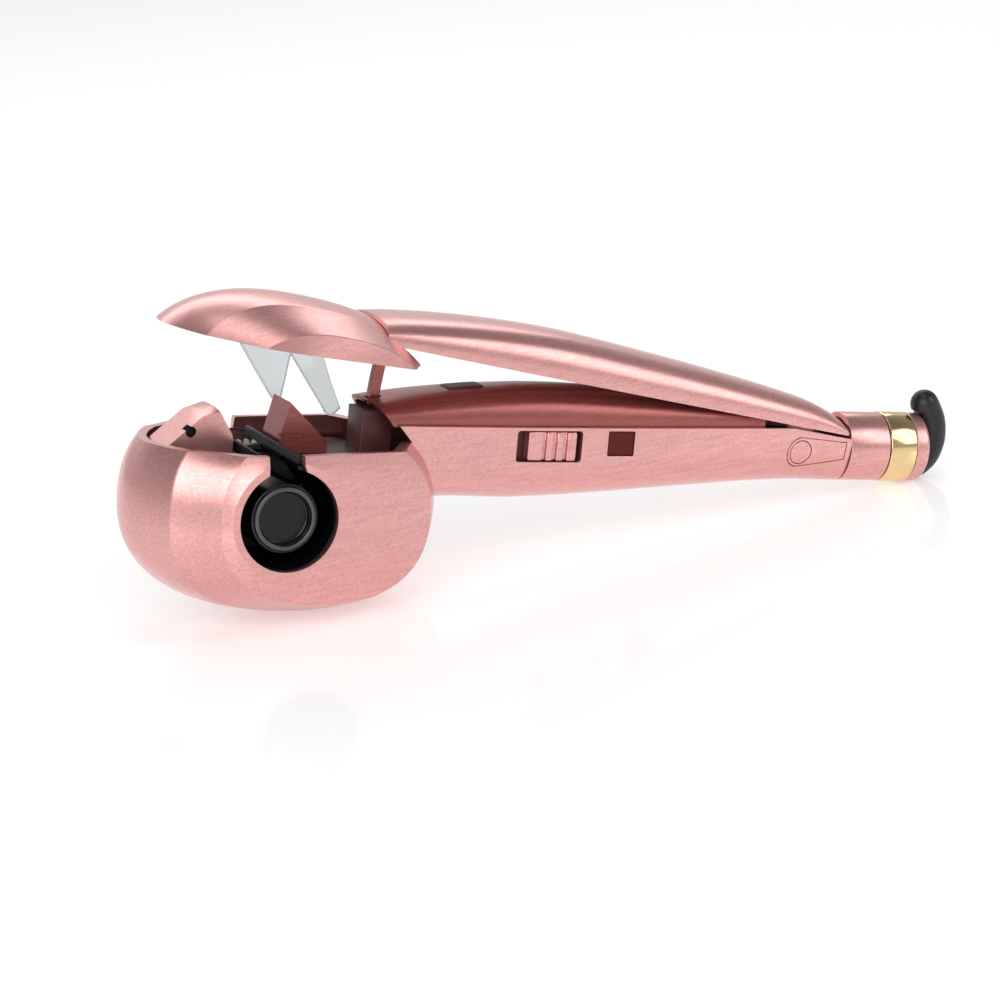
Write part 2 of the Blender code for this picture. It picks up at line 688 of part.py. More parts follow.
def head_cap():
    """The domed upper jaw."""
    cap = cut(head_solid(), head_solid(SHELL_WALL))
    cut(cap, rim_cutter("below", CAP_RISE, CAP_SLOPE, above=False))
    notch = []
    for x in (ARM_START_X - GAP, 60 * MM, 90 * MM):
        notch.append((x, along(HALF_WIDTH, x) + GAP))
    outline = notch + [(x, -y) for x, y in reversed(notch)]
    cut(cap, prism("notch", outline, "z", 0, 60 * MM))
    cap.name = "head_cap"
    return settle(cap, rose, arm_frame)


def cap_liner():
    """The inner tray of the cap, with a window for the two wedges."""
    reach = 100 * MM
    rise, thick = 3.4 * MM, 1.8 * MM
    outline = []
    for x, up in ((-reach, 0), (reach, 0), (reach, thick), (-reach, thick)):
        outline.append((x, RIM_Z + CAP_RISE + CAP_SLOPE * x + rise + up))
    tray = prism("cap_liner", outline, "y", -60 * MM, 60 * MM)
    keep(tray, head_solid(SHELL_WALL + GAP))
    cut(tray, block("window", (-40.5 * MM, 26 * MM), (-11 * MM, 11 * MM), (0, 60 * MM)))
    for x0, x1 in FIN_SPANS:
        cut(tray, block("fin_way", (x0, x1), (FIN_Y - GAP, FIN_Y + FIN_THICK + GAP), (0, 60 * MM)))
    cut(tray, block("arm_side", (ARM_START_X - GAP - 5 * MM, 90 * MM), (-21 * MM, 21 * MM), (0, 60 * MM)))
    return settle(tray, maroon, arm_frame)


def cap_bracket():
    """The bar that joins the cap to the arm's front wall."""
    bar = block("cap_bracket", (28.6 * MM, ARM_START_X - GAP), (-15 * MM, 15 * MM), (28.9 * MM, 33.8 * MM))
    for y in (-9 * MM, 9 * MM):
        cut(bar, rod("hole", 1.5 * MM, "x", 20 * MM, 40 * MM, (y, CAP_SCREW_Z), 16))
    keep(bar, head_solid(SHELL_WALL + GAP))
    return settle(bar, steel, arm_frame)


# ---------------------------------------------------------------- the jaw's inside
def jaw_deck():
    """The floor of the open jaw: a plate, a saddle over the chamber and the housing of the rod."""
    under = DECK_Z - DECK_THICK
    deck = block("jaw_deck", (-60 * MM, 49 * MM), (-45 * MM, 45 * MM), (under - MM, DECK_Z))
    saddle = CHAMBER_RADIUS + CHAMBER_WALL + GAP
    join(deck, rod("saddle", saddle + 1.5 * MM, "y", -30.7 * MM, 21.7 * MM, sides=40))
    cut(deck, block("under", (-70 * MM, 70 * MM), (-50 * MM, 50 * MM), (-40 * MM, under)))
    keep(deck, head_solid(SHELL_WALL + GAP))
    for x0, x1 in FIN_SLOTS:
        cut(deck, block("fin_slot", (x0, x1), (FIN_Y - 2.2 * MM, FIN_Y + FIN_THICK + 1.4 * MM), (0, 40 * MM)))
    wide = 6.6 * MM
    house_x = (35.2 * MM, 46.6 * MM)
    join(deck, block("housing", house_x, (-wide, wide), (under + 0.4 * MM, HOUSING_TOP), 0.3 * MM))
    step = CHAMBER_BACK_Y + 3 * MM
    room = [(0, -50 * MM), (saddle, -50 * MM), (saddle, step), (19.6 * MM, step), (19.6 * MM, 50 * MM), (0, 50 * MM)]
    cut(deck, turned("room", room, "y", sides=40))
    cut(deck, block("housing_inside", (house_x[0] + 1.5 * MM, house_x[1] - 1.5 * MM),
                    (-wide + 1.5 * MM, wide - 1.5 * MM), (0, HOUSING_TOP - 1.6 * MM)))
    half = ROD_SIZE / 2 + 0.8 * MM
    rod_x = PIVOT_X - ((PIVOT_X - ROD_X) ** 2 - (33 * MM - PIVOT_Z) ** 2) ** 0.5
    cut(deck, block("rod_hole", (rod_x - half, rod_x + half), (-half, half), (10 * MM, 50 * MM)))
    cut(deck, block("throat", (THROAT_X0 - 1.73 * MM, THROAT_X1 + 1.67 * MM), (-52 * MM, 21.1 * MM), (0, 40 * MM)))
    return settle(deck, maroon, device)


FIN_SLOTS = ((-3.5 * MM, 43.6 * MM),)
FIN_SPANS = ((-14.5 * MM, 28.2 * MM),)


def throat_lip(name, x, lean):
    """One black wall of the hair's way down into the chamber."""
    thick = 1.1 * MM
    low = (CHAMBER_RADIUS + CHAMBER_WALL) ** 2 - x**2
    foot = low**0.5 + GAP
    top = 21.6 * MM
    outline = [(x, foot), (x + lean * (top - foot), top),
               (x + lean * (top - foot) + (thick if x > 0 else -thick), top),
               (x + (thick if x > 0 else -thick), foot)]
    lip = prism(name, outline, "y", CHAMBER_FRONT_Y, 20.4 * MM)
    keep(lip, head_solid(SHELL_WALL + GAP))
    return settle(lip, black, device)


def front_wedge():
    """The front hair guide, with its round socket."""
    outline = [(-37.6, 17.6), (-18.9, 34.2), (-12.4, 24.0), (-11.9, 22.0), (-11.9, 17.6)]
    wedge = prism("front_wedge", [(x * MM, z * MM) for x, z in outline], "y", -9 * MM, 9 * MM)
    cut(wedge, rod("saddle", CHAMBER_RADIUS + CHAMBER_WALL + 1.5 * MM + 2 * GAP, "y", -20 * MM, 20 * MM, sides=40))
    cut(wedge, rod("socket", 1.9 * MM, "y", -12 * MM, -5 * MM, (-27.3 * MM, 24.7 * MM), 16))
    keep(wedge, head_solid(SHELL_WALL + GAP))
    return settle(wedge, rose, device, smooth=25)


def rear_wedge():
    """The rear hair guide, with a slit for the strand that slides off it."""
    outline = [(5.2, 17.6), (5.0, 22.6), (8.0, 35.2), (22.6, 21.6), (22.6, 17.6)]
    wedge = prism("rear_wedge", [(x * MM, z * MM) for x, z in outline], "y", -8 * MM, 8 * MM)
    cut(wedge, rod("saddle", CHAMBER_RADIUS + CHAMBER_WALL + 1.5 * MM + 2 * GAP, "y", -20 * MM, 20 * MM, sides=40))
    cut(wedge, block("slit", (5.2 * MM, 14 * MM), (-12 * MM, -6 * MM), (23.0 * MM, 24.2 * MM)))
    return settle(wedge, rose_dark, device, smooth=25)


def fin(name, outline):
    """The clear two-legged plate that comes down behind the wedges as the jaw shuts."""
    plate = prism(name, [(x * MM, z * MM) for x, z in outline], "y", FIN_Y, FIN_Y + FIN_THICK)
    keep(plate, head_solid(SHELL_WALL + 2 * GAP))
    bm = bmesh.new()
    bm.from_mesh(plate.data)
    bmesh.ops.bevel(bm, geom=bm.edges, offset=0.35 * MM, segments=1, profile=0.5, affect="EDGES")
    bm.to_mesh(plate.data)
    bm.free()
    return settle(plate, clear, arm_frame)


def actuator_rod():
    """The bar under the arm, curved round the hinge, that rides in the cover's hole."""
    radius = PIVOT_X - ROD_X
    top = along(ARM_CROWN, ROD_X) - ARM_WALL - 1.2 * MM
    bm = bmesh.new()
    steps = 8
    rings = []
    for k in range(steps + 1):
        z = lerp(ROD_TIP_Z, top, k / steps)
        a = asin((z - PIVOT_Z) / radius)
        half = ROD_SIZE / 2 * (0.6 if k == 0 else 1.0)
        ring = []
        for dr, dy in ((-1, -1), (1, -1), (1, 1), (-1, 1)):
            r = radius + dr * half
            ring.append(bm.verts.new((PIVOT_X - r * cos(a), dy * half, PIVOT_Z + r * sin(a))))
        rings.append(ring)
    for a, b in zip(rings, rings[1:]):
        for i in range(4):
            bm.faces.new((a[i], a[(i + 1) % 4], b[(i + 1) % 4], b[i]))
    bm.faces.new(rings[0][::-1])
    bm.faces.new(rings[-1])
    return settle(to_object("actuator_rod", bm), rose_dark, arm_frame)


# ---------------------------------------------------------------- chamber, heater and drive
def chamber_liner():
    """The curling chamber's wall, open at the top where the hair comes in."""
    outer = CHAMBER_RADIUS + CHAMBER_WALL
    liner = tube("chamber_liner", outer, CHAMBER_RADIUS, "y", CHAMBER_FRONT_Y, CHAMBER_BACK_Y, sides=40)
    back = tube("back", outer, 15.0 * MM, "y", CHAMBER_BACK_Y - 0.01 * MM, CHAMBER_BACK_Y + 1.4 * MM, sides=40)
    join(liner, back)
    cut(liner, block("way_in", (THROAT_X0, THROAT_X1), (-50 * MM, CHAMBER_BACK_Y - 1.6 * MM), (5 * MM, 40 * MM)))
    return settle(liner, ceramic, device)


def heater_barrel():
    """The hollow barrel the hair is wound on, with a recessed end."""
    profile = [
        (0, BARREL_FRONT_Y + 2.4 * MM),
        (BARREL_RADIUS - 3.0 * MM, BARREL_FRONT_Y + 2.4 * MM),
        (BARREL_RADIUS - 3.0 * MM, BARREL_FRONT_Y),
        (BARREL_RADIUS - 0.6 * MM, BARREL_FRONT_Y),
        (BARREL_RADIUS, BARREL_FRONT_Y + 0.6 * MM),
        (BARREL_RADIUS, -0.6 * MM),
        (STEM_RADIUS, -0.6 * MM),
        (STEM_RADIUS, CHASSIS_Y - GAP),
        (7.0 * MM, CHASSIS_Y - GAP),
        (7.0 * MM, -2.0 * MM),
        (10.4 * MM, -2.0 * MM),
        (10.4 * MM, BARREL_FRONT_Y + 4.0 * MM),
        (0, BARREL_FRONT_Y + 4.0 * MM),
    ]
    return settle(turned("heater_barrel", profile, "y", sides=32), ceramic, device)


STEM_RADIUS = 8.4 * MM
CHASSIS_Y = 13.6 * MM
CHASSIS_THICK = 2.0 * MM
IDLER_CENTRE = (
    (ROTOR_TEETH + IDLER_TEETH) * GEAR_MODULE / 2 * cos(IDLER_DIRECTION),
    (ROTOR_TEETH + IDLER_TEETH) * GEAR_MODULE / 2 * sin(IDLER_DIRECTION),
)
PINION_CENTRE = (
    IDLER_CENTRE[0] + (IDLER_TEETH + PINION_TEETH) * GEAR_MODULE / 2 * cos(PINION_DIRECTION),
    IDLER_CENTRE[1] + (IDLER_TEETH + PINION_TEETH) * GEAR_MODULE / 2 * sin(PINION_DIRECTION),
)


def mesh_phase(teeth, phase, direction, follower_teeth):
    """The phase that puts the follower's gap on the leader's tooth, where they meet."""
    return direction + pi - (pi - teeth * (direction - phase)) / follower_teeth


def barrel_end_ring():
    """The bright ring let into the barrel's end."""
    ring = turned("barrel_end_ring", [
        (BARREL_RADIUS - 0.9 * MM, BARREL_FRONT_Y - GAP),
        (BARREL_RADIUS - 1.4 * MM, BARREL_FRONT_Y - GAP - 0.7 * MM),
        (BARREL_RADIUS - 2.2 * MM, BARREL_FRONT_Y - GAP - 0.7 * MM),
        (BARREL_RADIUS - 2.7 * MM, BARREL_FRONT_Y - GAP),
    ], "y", sides=32)
    return settle(ring, silver, device)


def heater_core():
    """The ceramic heating element inside the barrel."""
    return settle(rod("heater_core", 6.6 * MM, "y", BARREL_FRONT_Y + 5 * MM, -3 * MM, sides=20), acetal, device)


def thermal_fuse():
    """The cut-out against the barrel's inner wall."""
    fuse = rod("thermal_fuse", 1.5 * MM, "y", -24 * MM, -10 * MM, (0, 8.5 * MM), 12)
    return settle(fuse, steel, device)


def rotor():
    """The turning ring with the two fingers that carry the hair round the barrel."""
    front = -0.2 * MM
    bore = STEM_RADIUS + 0.4 * MM
    disc = CHAMBER_RADIUS - 0.6 * MM
    back = CHAMBER_BACK_Y - GAP
    end = GEAR_Y + GEAR_WIDTH
    profile = [(bore, front), (disc, front), (disc, back), (14.0 * MM, back), (14.0 * MM, end), (bore, end)]
    ring = turned("rotor", profile, "y", sides=36)
    for turn in FINGER_TURNS:
        outline = []
        for radius, spread in ((13.4, -0.16), (16.2, -0.13), (16.2, 0.13), (13.4, 0.16)):
            a = turn + spread
            outline.append((radius * MM * cos(a), radius * MM * sin(a)))
        join(ring, prism("finger", outline, "y", -9.0 * MM, 0.6 * MM))
    return settle(ring, black, device)


FINGER_TURNS = (radians(20), radians(200))


def rotor_gear():
    phase = 0.0
    wheel = gear("rotor_gear", ROTOR_TEETH, (0, 0), 14.0 * MM + GAP, phase, GEAR_Y, GEAR_Y + GEAR_WIDTH)
    return settle(wheel, acetal, device, smooth=20)


def idler_gear():
    phase = mesh_phase(ROTOR_TEETH, 0.0, IDLER_DIRECTION, IDLER_TEETH)
    wheel = gear("idler_gear", IDLER_TEETH, IDLER_CENTRE, 1.5 * MM + GAP, phase, GEAR_Y, GEAR_Y + GEAR_WIDTH,
                 (3.4 * MM, GEAR_Y - 0.8 * MM, CHASSIS_Y - 0.8 * MM))
    return settle(wheel, acetal, device, (IDLER_CENTRE[0], 0, IDLER_CENTRE[1]), smooth=20)


def idler_axle():
    axle = rod("idler_axle", 1.5 * MM, "y", GEAR_Y - 1.5 * MM, CHASSIS_Y + CHASSIS_THICK + 0.5 * MM, IDLER_CENTRE, 16)
    return settle(axle, steel, device)


def motor_pinion():
    """The motor's shaft with its pinion."""
    idler_phase = mesh_phase(ROTOR_TEETH, 0.0, IDLER_DIRECTION, IDLER_TEETH)
    phase = mesh_phase(IDLER_TEETH, idler_phase, PINION_DIRECTION, PINION_TEETH)
    pitch = PINION_TEETH * GEAR_MODULE / 2
    step = 2 * pi / PINION_TEETH
    outline = []
    for k in range(PINION_TEETH):
        for radius, share in ((pitch - 1.1 * GEAR_MODULE, -0.3), (pitch + 0.8 * GEAR_MODULE, -0.1),
                              (pitch + 0.8 * GEAR_MODULE, 0.1), (pitch - 1.1 * GEAR_MODULE, 0.3)):
            a = phase + (k + share) * step
            outline.append((PINION_CENTRE[0] + radius * cos(a), PINION_CENTRE[1] + radius * sin(a)))
    wheel = prism("motor_pinion", outline, "y", GEAR_Y - 0.4 * MM, GEAR_Y + GEAR_WIDTH + 0.4 * MM)
    join(wheel, rod("shaft", 1.0 * MM, "y", MOTOR_FRONT_Y - 4 * MM, CHASSIS_Y - 0.6 * MM, PINION_CENTRE, 16))
    return settle(wheel, brass, device, (PINION_CENTRE[0], 0, PINION_CENTRE[1]), smooth=20)


MOTOR_FRONT_Y = 3.6 * MM


def drive_motor():
    profile = [
        (0, MOTOR_FRONT_Y - MOTOR_LENGTH),
        (MOTOR_RADIUS - 1.2 * MM, MOTOR_FRONT_Y - MOTOR_LENGTH),
        (MOTOR_RADIUS, MOTOR_FRONT_Y - MOTOR_LENGTH + 1.2 * MM),
        (MOTOR_RADIUS, MOTOR_FRONT_Y - 1.2 * MM),
        (MOTOR_RADIUS - 1.2 * MM, MOTOR_FRONT_Y),
        (1.0 * MM + GAP, MOTOR_FRONT_Y),
        (1.0 * MM + GAP, MOTOR_FRONT_Y - 5 * MM),
        (0, MOTOR_FRONT_Y - 5 * MM),
    ]
    return settle(turned("drive_motor", profile, "y", PINION_CENTRE, 28), steel, device)


def drive_chassis():
    """The plate behind the gears and the motor's bracket in front of them, with their pillars."""
    back = CHASSIS_Y + CHASSIS_THICK
    plate = block("drive_chassis", (-21 * MM, 35.5 * MM), (CHASSIS_Y, back), (-27 * MM, 13.5 * MM))
    px, pz = PINION_CENTRE
    front = (MOTOR_FRONT_Y + GAP, MOTOR_FRONT_Y + GAP + 1.6 * MM)
    bracket = block("bracket", (px - 10 * MM, px + 9 * MM), front, (pz - 9.4 * MM, pz + 4 * MM))
    for x in (px - 8.6 * MM, px + 7.6 * MM):
        join(bracket, block("pillar", (x - 1.3 * MM, x + 1.3 * MM), (front[0] + 0.5 * MM, CHASSIS_Y + 0.5 * MM),
                            (pz - 9.2 * MM, pz - 6.2 * MM)))
    cut(bracket, rod("shaft_hole", 2.6 * MM, "y", 0, 9 * MM, PINION_CENTRE, 20))
    join(plate, bracket)
    cut(plate, rod("stem_hole", 7.0 * MM, "y", 10 * MM, 20 * MM, sides=32))
    cut(plate, rod("axle_hole", 1.5 * MM + GAP, "y", 10 * MM, 20 * MM, IDLER_CENTRE, 16))
    keep(plate, head_solid(SHELL_WALL + GAP))
    for x, z in CHASSIS_SCREWS:
        cut(plate, rod("screw_hole", 1.7 * MM, "y", 10 * MM, 20 * MM, (x, z), 16))
    return settle(plate, steel, device)


CHASSIS_SCREWS = ((-15.5 * MM, -21.5 * MM), (-17.5 * MM, 9.5 * MM), (32.0 * MM, -8.6 * MM))
BOSS_RADIUS = 3.0 * MM


def screw(name, axis, centre, head, tip, parent, radius=1.4 * MM, head_radius=2.6 * MM):
    """A pan-head screw along an axis, from its head's underside to its tip, with a cross in its head."""
    way = 1 if tip > head else -1
    thick = 1.6 * MM
    profile = [
        (0, head - way * thick),
        (head_radius * 0.7, head - way * thick),
        (head_radius, head - way * thick * 0.4),
        (head_radius, head),
        (radius, head),
        (radius, tip - way * radius),
        (0, tip),
    ]
    made = turned(name, profile, axis, centre, 16)
    return settle(made, steel, parent)


# ---------------------------------------------------------------- electronics and controls
def control_board():
    board = block("control_board", (62 * MM, 152 * MM), (-11 * MM, 11 * MM), (10.6 * MM, 12.2 * MM))
    parts = [
        block("relay", (66 * MM, 80 * MM), (-7 * MM, 3 * MM), (12.0 * MM, 21 * MM)),
        rod("capacitor", 4.0 * MM, "z", 12.0 * MM, 24 * MM, (140 * MM, 3 * MM), 16),
        block("chip", (118 * MM, 128 * MM), (-4 * MM, 4 * MM), (12.0 * MM, 14.2 * MM)),
        block("coil", (100 * MM, 110 * MM), (-2 * MM, 7 * MM), (12.0 * MM, 19 * MM)),
    ]
    keep(board, handle_solid(SHELL_WALL + GAP, SEAM_Z + 2 * MM))
    join(board, *parts)
    return settle(board, board_green, device)


def side_y(x, inset):
    """The near side panel's y at x, drawn in by inset."""
    return -(along(HALF_WIDTH, x) - inset)


def switch_plate():
    """The dark floor of the switch's recess, with the slot the slider's stem runs in."""
    y = side_y(SWITCH_X1, 4.6 * MM)
    plate = block("switch_plate", (SWITCH_X0 - 2 * MM, SWITCH_X1 + 2 * MM), (y, y + 1.2 * MM),
                  (SWITCH_Z0 - 2 * MM, SWITCH_Z1 - 0.4 * MM))
    cut(plate, block("slot", (SWITCH_X0 + 5 * MM, SWITCH_X1 - 5 * MM), (y - MM, y + 3 * MM), (21.6 * MM, 24.6 * MM)))
    return settle(plate, maroon, device)


def slide_knob():
    """The ribbed slider, with the stem that goes through the plate's slot."""
    x0, x1 = KNOB_X0, KNOB_X0 + KNOB_LENGTH
    face = side_y((x0 + x1) / 2, 0.2 * MM)
    back = side_y(SWITCH_X1, 4.6 * MM) - GAP
    knob = block("slide_knob", (x0, x1), (face, back), (SWITCH_Z0 + 0.5 * MM, SWITCH_Z1 - 0.5 * MM), 0.4 * MM)
    for k in range(3):
        x = lerp(x0, x1, (k + 1.35) / 4.6)
        cut(knob, block("groove", (x, x + 1.5 * MM), (face - MM, face + 1.3 * MM), (15 * MM, 32 * MM)))
    middle = (x0 + x1) / 2
    join(knob, block("stem", (middle - 1.4 * MM, middle + 1.4 * MM), (back - 0.5 * MM, back + 4.2 * MM), (22.0 * MM, 24.2 * MM)))
    return settle(knob, rose, device, (middle, face, 23.1 * MM))


def slide_switch():
    """The electrical switch behind the plate, whose fork the stem drives."""
    middle = KNOB_X0 + KNOB_LENGTH / 2 - 1.0 * MM
    y = side_y(SWITCH_X1, 4.6 * MM) + 1.2 * MM + GAP
    body = block("slide_switch", (middle - 10 * MM, middle + 10 * MM), (y, y + 6.5 * MM), (19.6 * MM, 26.6 * MM))
    cut(body, block("slot", (middle - 7 * MM, middle + 7 * MM), (y - MM, y + 3.6 * MM), (21.4 * MM, 24.8 * MM)))
    return settle(body, black, device)


def indicator_lens():
    """The smoked window over the indicator lamps."""
    y = side_y(LENS_X1, 0.35 * MM)
    lens = side_hole("indicator_lens", (LENS_X0 + GAP, LENS_X1 - GAP), (LENS_Z0 + GAP, SWITCH_Z1 - GAP), y, y + 1.7 * MM, 0.4 * MM)
    return settle(lens, lens_red, device)


PLUNGER_TOP = ROD_TIP_Z + PLUNGER_TRAVEL - GAP


def start_plunger():
    """The sprung plunger that the rod presses as the arm shuts."""
    profile = [
        (0, PLUNGER_TOP),
        (PLUNGER_RADIUS, PLUNGER_TOP),
        (PLUNGER_RADIUS, PLUNGER_TOP - 3.0 * MM),
        (3.6 * MM, PLUNGER_TOP - 3.0 * MM),
        (3.6 * MM, PLUNGER_TOP - 4.2 * MM),
        (1.3 * MM, PLUNGER_TOP - 4.2 * MM),
        (1.3 * MM, PLUNGER_TOP - 11.0 * MM),
        (0, PLUNGER_TOP - 11.0 * MM),
    ]
    made = turned("start_plunger", profile, "z", (ROD_X + 0.3 * MM, 0), 18)
    return settle(made, acetal, device, (ROD_X + 0.3 * MM, 0, PLUNGER_TOP))


def plunger_spring():
    top = PLUNGER_TOP - 4.2 * MM - GAP - 0.35 * MM
    low = MICRO_TOP + GAP + 0.35 * MM
    made = coil("plunger_spring", (ROD_X + 0.3 * MM, 0), "z", low, top, 2.5 * MM, 0.35 * MM, 4.0, 10, 4)
    return settle(made, steel, device)


MICRO_TOP = PLUNGER_TOP - 15.0 * MM


def switch_bracket():
    """The frame under the rod's housing that guides the plunger and holds the small switch."""
    x = (35.4 * MM, 47.8 * MM)
    outer, inner = 9.0 * MM, 7.6 * MM
    floor = MICRO_TOP - 6.5 * MM - GAP
    under = DECK_Z - DECK_THICK - GAP
    frame = block("switch_bracket", x, (-outer, outer), (floor - 1.6 * MM, under))
    ends = (x[0] - MM, x[1] + MM)
    cut(frame, block("lower_room", ends, (-inner, inner), (floor, PLUNGER_TOP - 3.0 * MM + GAP)))
    cut(frame, block("upper_room", ends, (-inner, inner), (PLUNGER_TOP - 1.2 * MM, under + MM)))
    cut(frame, rod("guide", PLUNGER_RADIUS + GAP, "z", floor + MM, under, (ROD_X + GAP, 0), 18))
    cut(frame, block("legs", (ROD_X - 4 * MM, ROD_X + 6.5 * MM), (-1.2 * MM, 1.2 * MM), (floor - 5 * MM, floor + MM)))
    return settle(frame, steel, device)


def microswitch():
    """The small switch under the plunger, with its own button."""
    x = ROD_X + 0.3 * MM
    body = block("microswitch", (x - 4.0 * MM, x + 6.4 * MM), (-3 * MM, 3 * MM), (MICRO_TOP - 6.5 * MM, MICRO_TOP))
    join(body, rod("button", 1.2 * MM, "z", MICRO_TOP - 0.5 * MM, MICRO_TOP + 1.2 * MM, (x, 0), 12))
    for dx in (-2.4, 1.2, 4.8):
        join(body, block("leg", (x + dx * MM - 0.4 * MM, x + dx * MM + 0.4 * MM), (-0.5 * MM, 0.5 * MM),
                         (MICRO_TOP - 9.5 * MM, MICRO_TOP - 6.0 * MM)))
    return settle(body, black, device)


# ---------------------------------------------------------------- hinge
def hinge_block():
    """The block in the handle that carries the pin, with a pocket for the spring."""
    wide = LUG_INNER - GAP - 0.2 * MM
    body = block("hinge_block", (PIVOT_X - 9 * MM, PIVOT_X + 9.5 * MM), (-wide, wide), (9.2 * MM, 26.4 * MM))
    keep(body, handle_solid(SHELL_WALL + GAP, SEAM_Z + 2 * MM))
    cut(body, rod("bore", PIN_RADIUS + GAP, "y", -12 * MM, 12 * MM, (PIVOT_X, PIVOT_Z)))
    cut(body, block("pocket", (PIVOT_X - 5.6 * MM, PIVOT_X + 5.6 * MM), (-5.6 * MM, 5.6 * MM), (15.4 * MM, 40 * MM)))
    return settle(body, black, device)


def hinge_pin():
    pin = rod("hinge_pin", PIN_RADIUS, "y", -PIN_HALF, PIN_HALF, (PIVOT_X, PIVOT_Z))
    return settle(pin, steel, device)


def pin_cap(name, sign):
    """The round cap over the pin's end, flush with the handle's side."""
    low, high = sorted((sign * (PIN_HALF + GAP), sign * 20 * MM))
    cap = rod(name, PIN_HEAD_RADIUS, "y", low, high, (PIVOT_X, PIVOT_Z))
    keep(cap, handle_solid(0.0, SEAM_Z + 8 * MM, 160 * MM, 221 * MM))
    return settle(cap, rose, device)


def hinge_cover(name, sign):
    """The long thin cover plate round the hinge, let into the handle's side."""
    low, high = sorted((sign * 8 * MM, sign * 20 * MM))
    plate = prism(name, tongue_outline(), "y", low, high)
    keep(plate, handle_solid(0.0, SEAM_Z + 8 * MM, 160 * MM, 221 * MM))
    cut(plate, handle_solid(1.0 * MM, SEAM_Z + 9 * MM, 150 * MM, 221.8 * MM))
    cut(plate, rod("hole", PIN_HEAD_RADIUS + GAP, "y", low - MM, high + MM, (PIVOT_X, PIVOT_Z)))
    limit = [(PIVOT_X - 30 * MM, SEAM_Z - GAP), (PIVOT_X - 4 * MM, SEAM_Z - GAP),
             (240 * MM, SEAM_Z - GAP - (240 * MM - PIVOT_X + 4 * MM) * tan(OPEN_ANGLE)),
             (240 * MM, 60 * MM), (PIVOT_X - 30 * MM, 60 * MM)]
    cut(plate, prism("limit", limit, "y", -30 * MM, 30 * MM))
    return settle(plate, rose, device)


def return_spring():
    """The wound spring on the pin that lifts the arm."""
    made = coil("return_spring", (PIVOT_X, PIVOT_Z), "y", -4.2 * MM, 4.2 * MM, 3.7 * MM, 0.6 * MM, 4.5, 10, 5)
    return settle(made, steel, device)


# ---------------------------------------------------------------- tail
def tail_ring(name, low, high, outer, inner, finish, soft=0.5 * MM):
    profile = [(inner, low), (outer - soft * 0.3, low), (outer, low + soft * 0.3),
               (outer, high - soft), (outer - soft, high), (inner, high)]
    return settle(turned(name, profile, "x", (0, PIVOT_Z), 32), finish, device)


def tail_core():
    """The inner tube that carries the sleeve, the band and the end ring."""
    outer = TAIL_RADIUS - TAIL_WALL - GAP
    core = tube("tail_core", outer, outer - 2.2 * MM, "x", HANDLE_END_X + 0.6 * MM, BAND_END_X, (0, PIVOT_Z), 24)
    return settle(core, black, device)


def end_ring():
    """The end cap of the tail, with the swivel's hole."""
    soft = 1.2 * MM
    low, high = BAND_END_X + GAP, TAIL_END_X
    hole = SWIVEL_RADIUS + GAP
    profile = [(hole, low), (TAIL_RADIUS, low), (TAIL_RADIUS, high - soft),
               (TAIL_RADIUS - 0.35 * soft, high - 0.35 * soft), (TAIL_RADIUS - soft, high), (hole, high)]
    return settle(turned("end_ring", profile, "x", (0, PIVOT_Z), 32), rose, device)


def swivel_socket():
    """The cup inside the tail in which the strain relief turns."""
    outer = TAIL_RADIUS - TAIL_WALL - GAP - 2.2 * MM - GAP
    low, high = 238.0 * MM, BAND_END_X - 0.4 * MM
    profile = [(2.4 * MM, low), (outer, low), (outer, high), (SWIVEL_RADIUS + GAP, high),
               (SWIVEL_RADIUS + GAP, low + 1.6 * MM), (2.4 * MM, low + 1.6 * MM)]
    return settle(turned("swivel_socket", profile, "x", (0, PIVOT_Z), 24), black, device)


def strain_relief():
    """The bent sleeve that guards the cord where it leaves the tail."""
    route = [(256.6, 15.2), (259.4, 18.0), (261.0, 22.0), (261.4, 26.0), (260.6, 30.4), (258.6, 34.4), (257.2, 36.6)]
    path = [Vector((x * MM, 0, z * MM)) for x, z in route]
    first = (path[0] - path[1]).normalized()
    last = (path[-1] - path[-2]).normalized()
    ends = [(0.55, 0.84), (0.88, 0.48), (1.0, 0.12)]
    front = [path[0] + first * RELIEF_RADIUS * out for out, _ in ends][::-1]
    back = [path[-1] + last * RELIEF_RADIUS * out for out, _ in ends]
    small = [RELIEF_RADIUS * size for _, size in ends]
    radii = small[::-1] + [RELIEF_RADIUS] * len(path) + small
    body = swept("strain_relief", front + path + back, radii, 16)
    join(body, rod("stub", SWIVEL_RADIUS, "x", 241.0 * MM, 258.0 * MM, (0, PIVOT_Z), 28))
    cut(body, rod("bore", 3.2 * MM, "x", 235 * MM, 252 * MM, (0, PIVOT_Z), 20))
    cut(body, tube("clear", 13.4 * MM, SWIVEL_RADIUS, "x", 235 * MM, TAIL_END_X + GAP, (0, PIVOT_Z), 28))
    return settle(body, rubber, device, (TAIL_END_X, 0, PIVOT_Z))


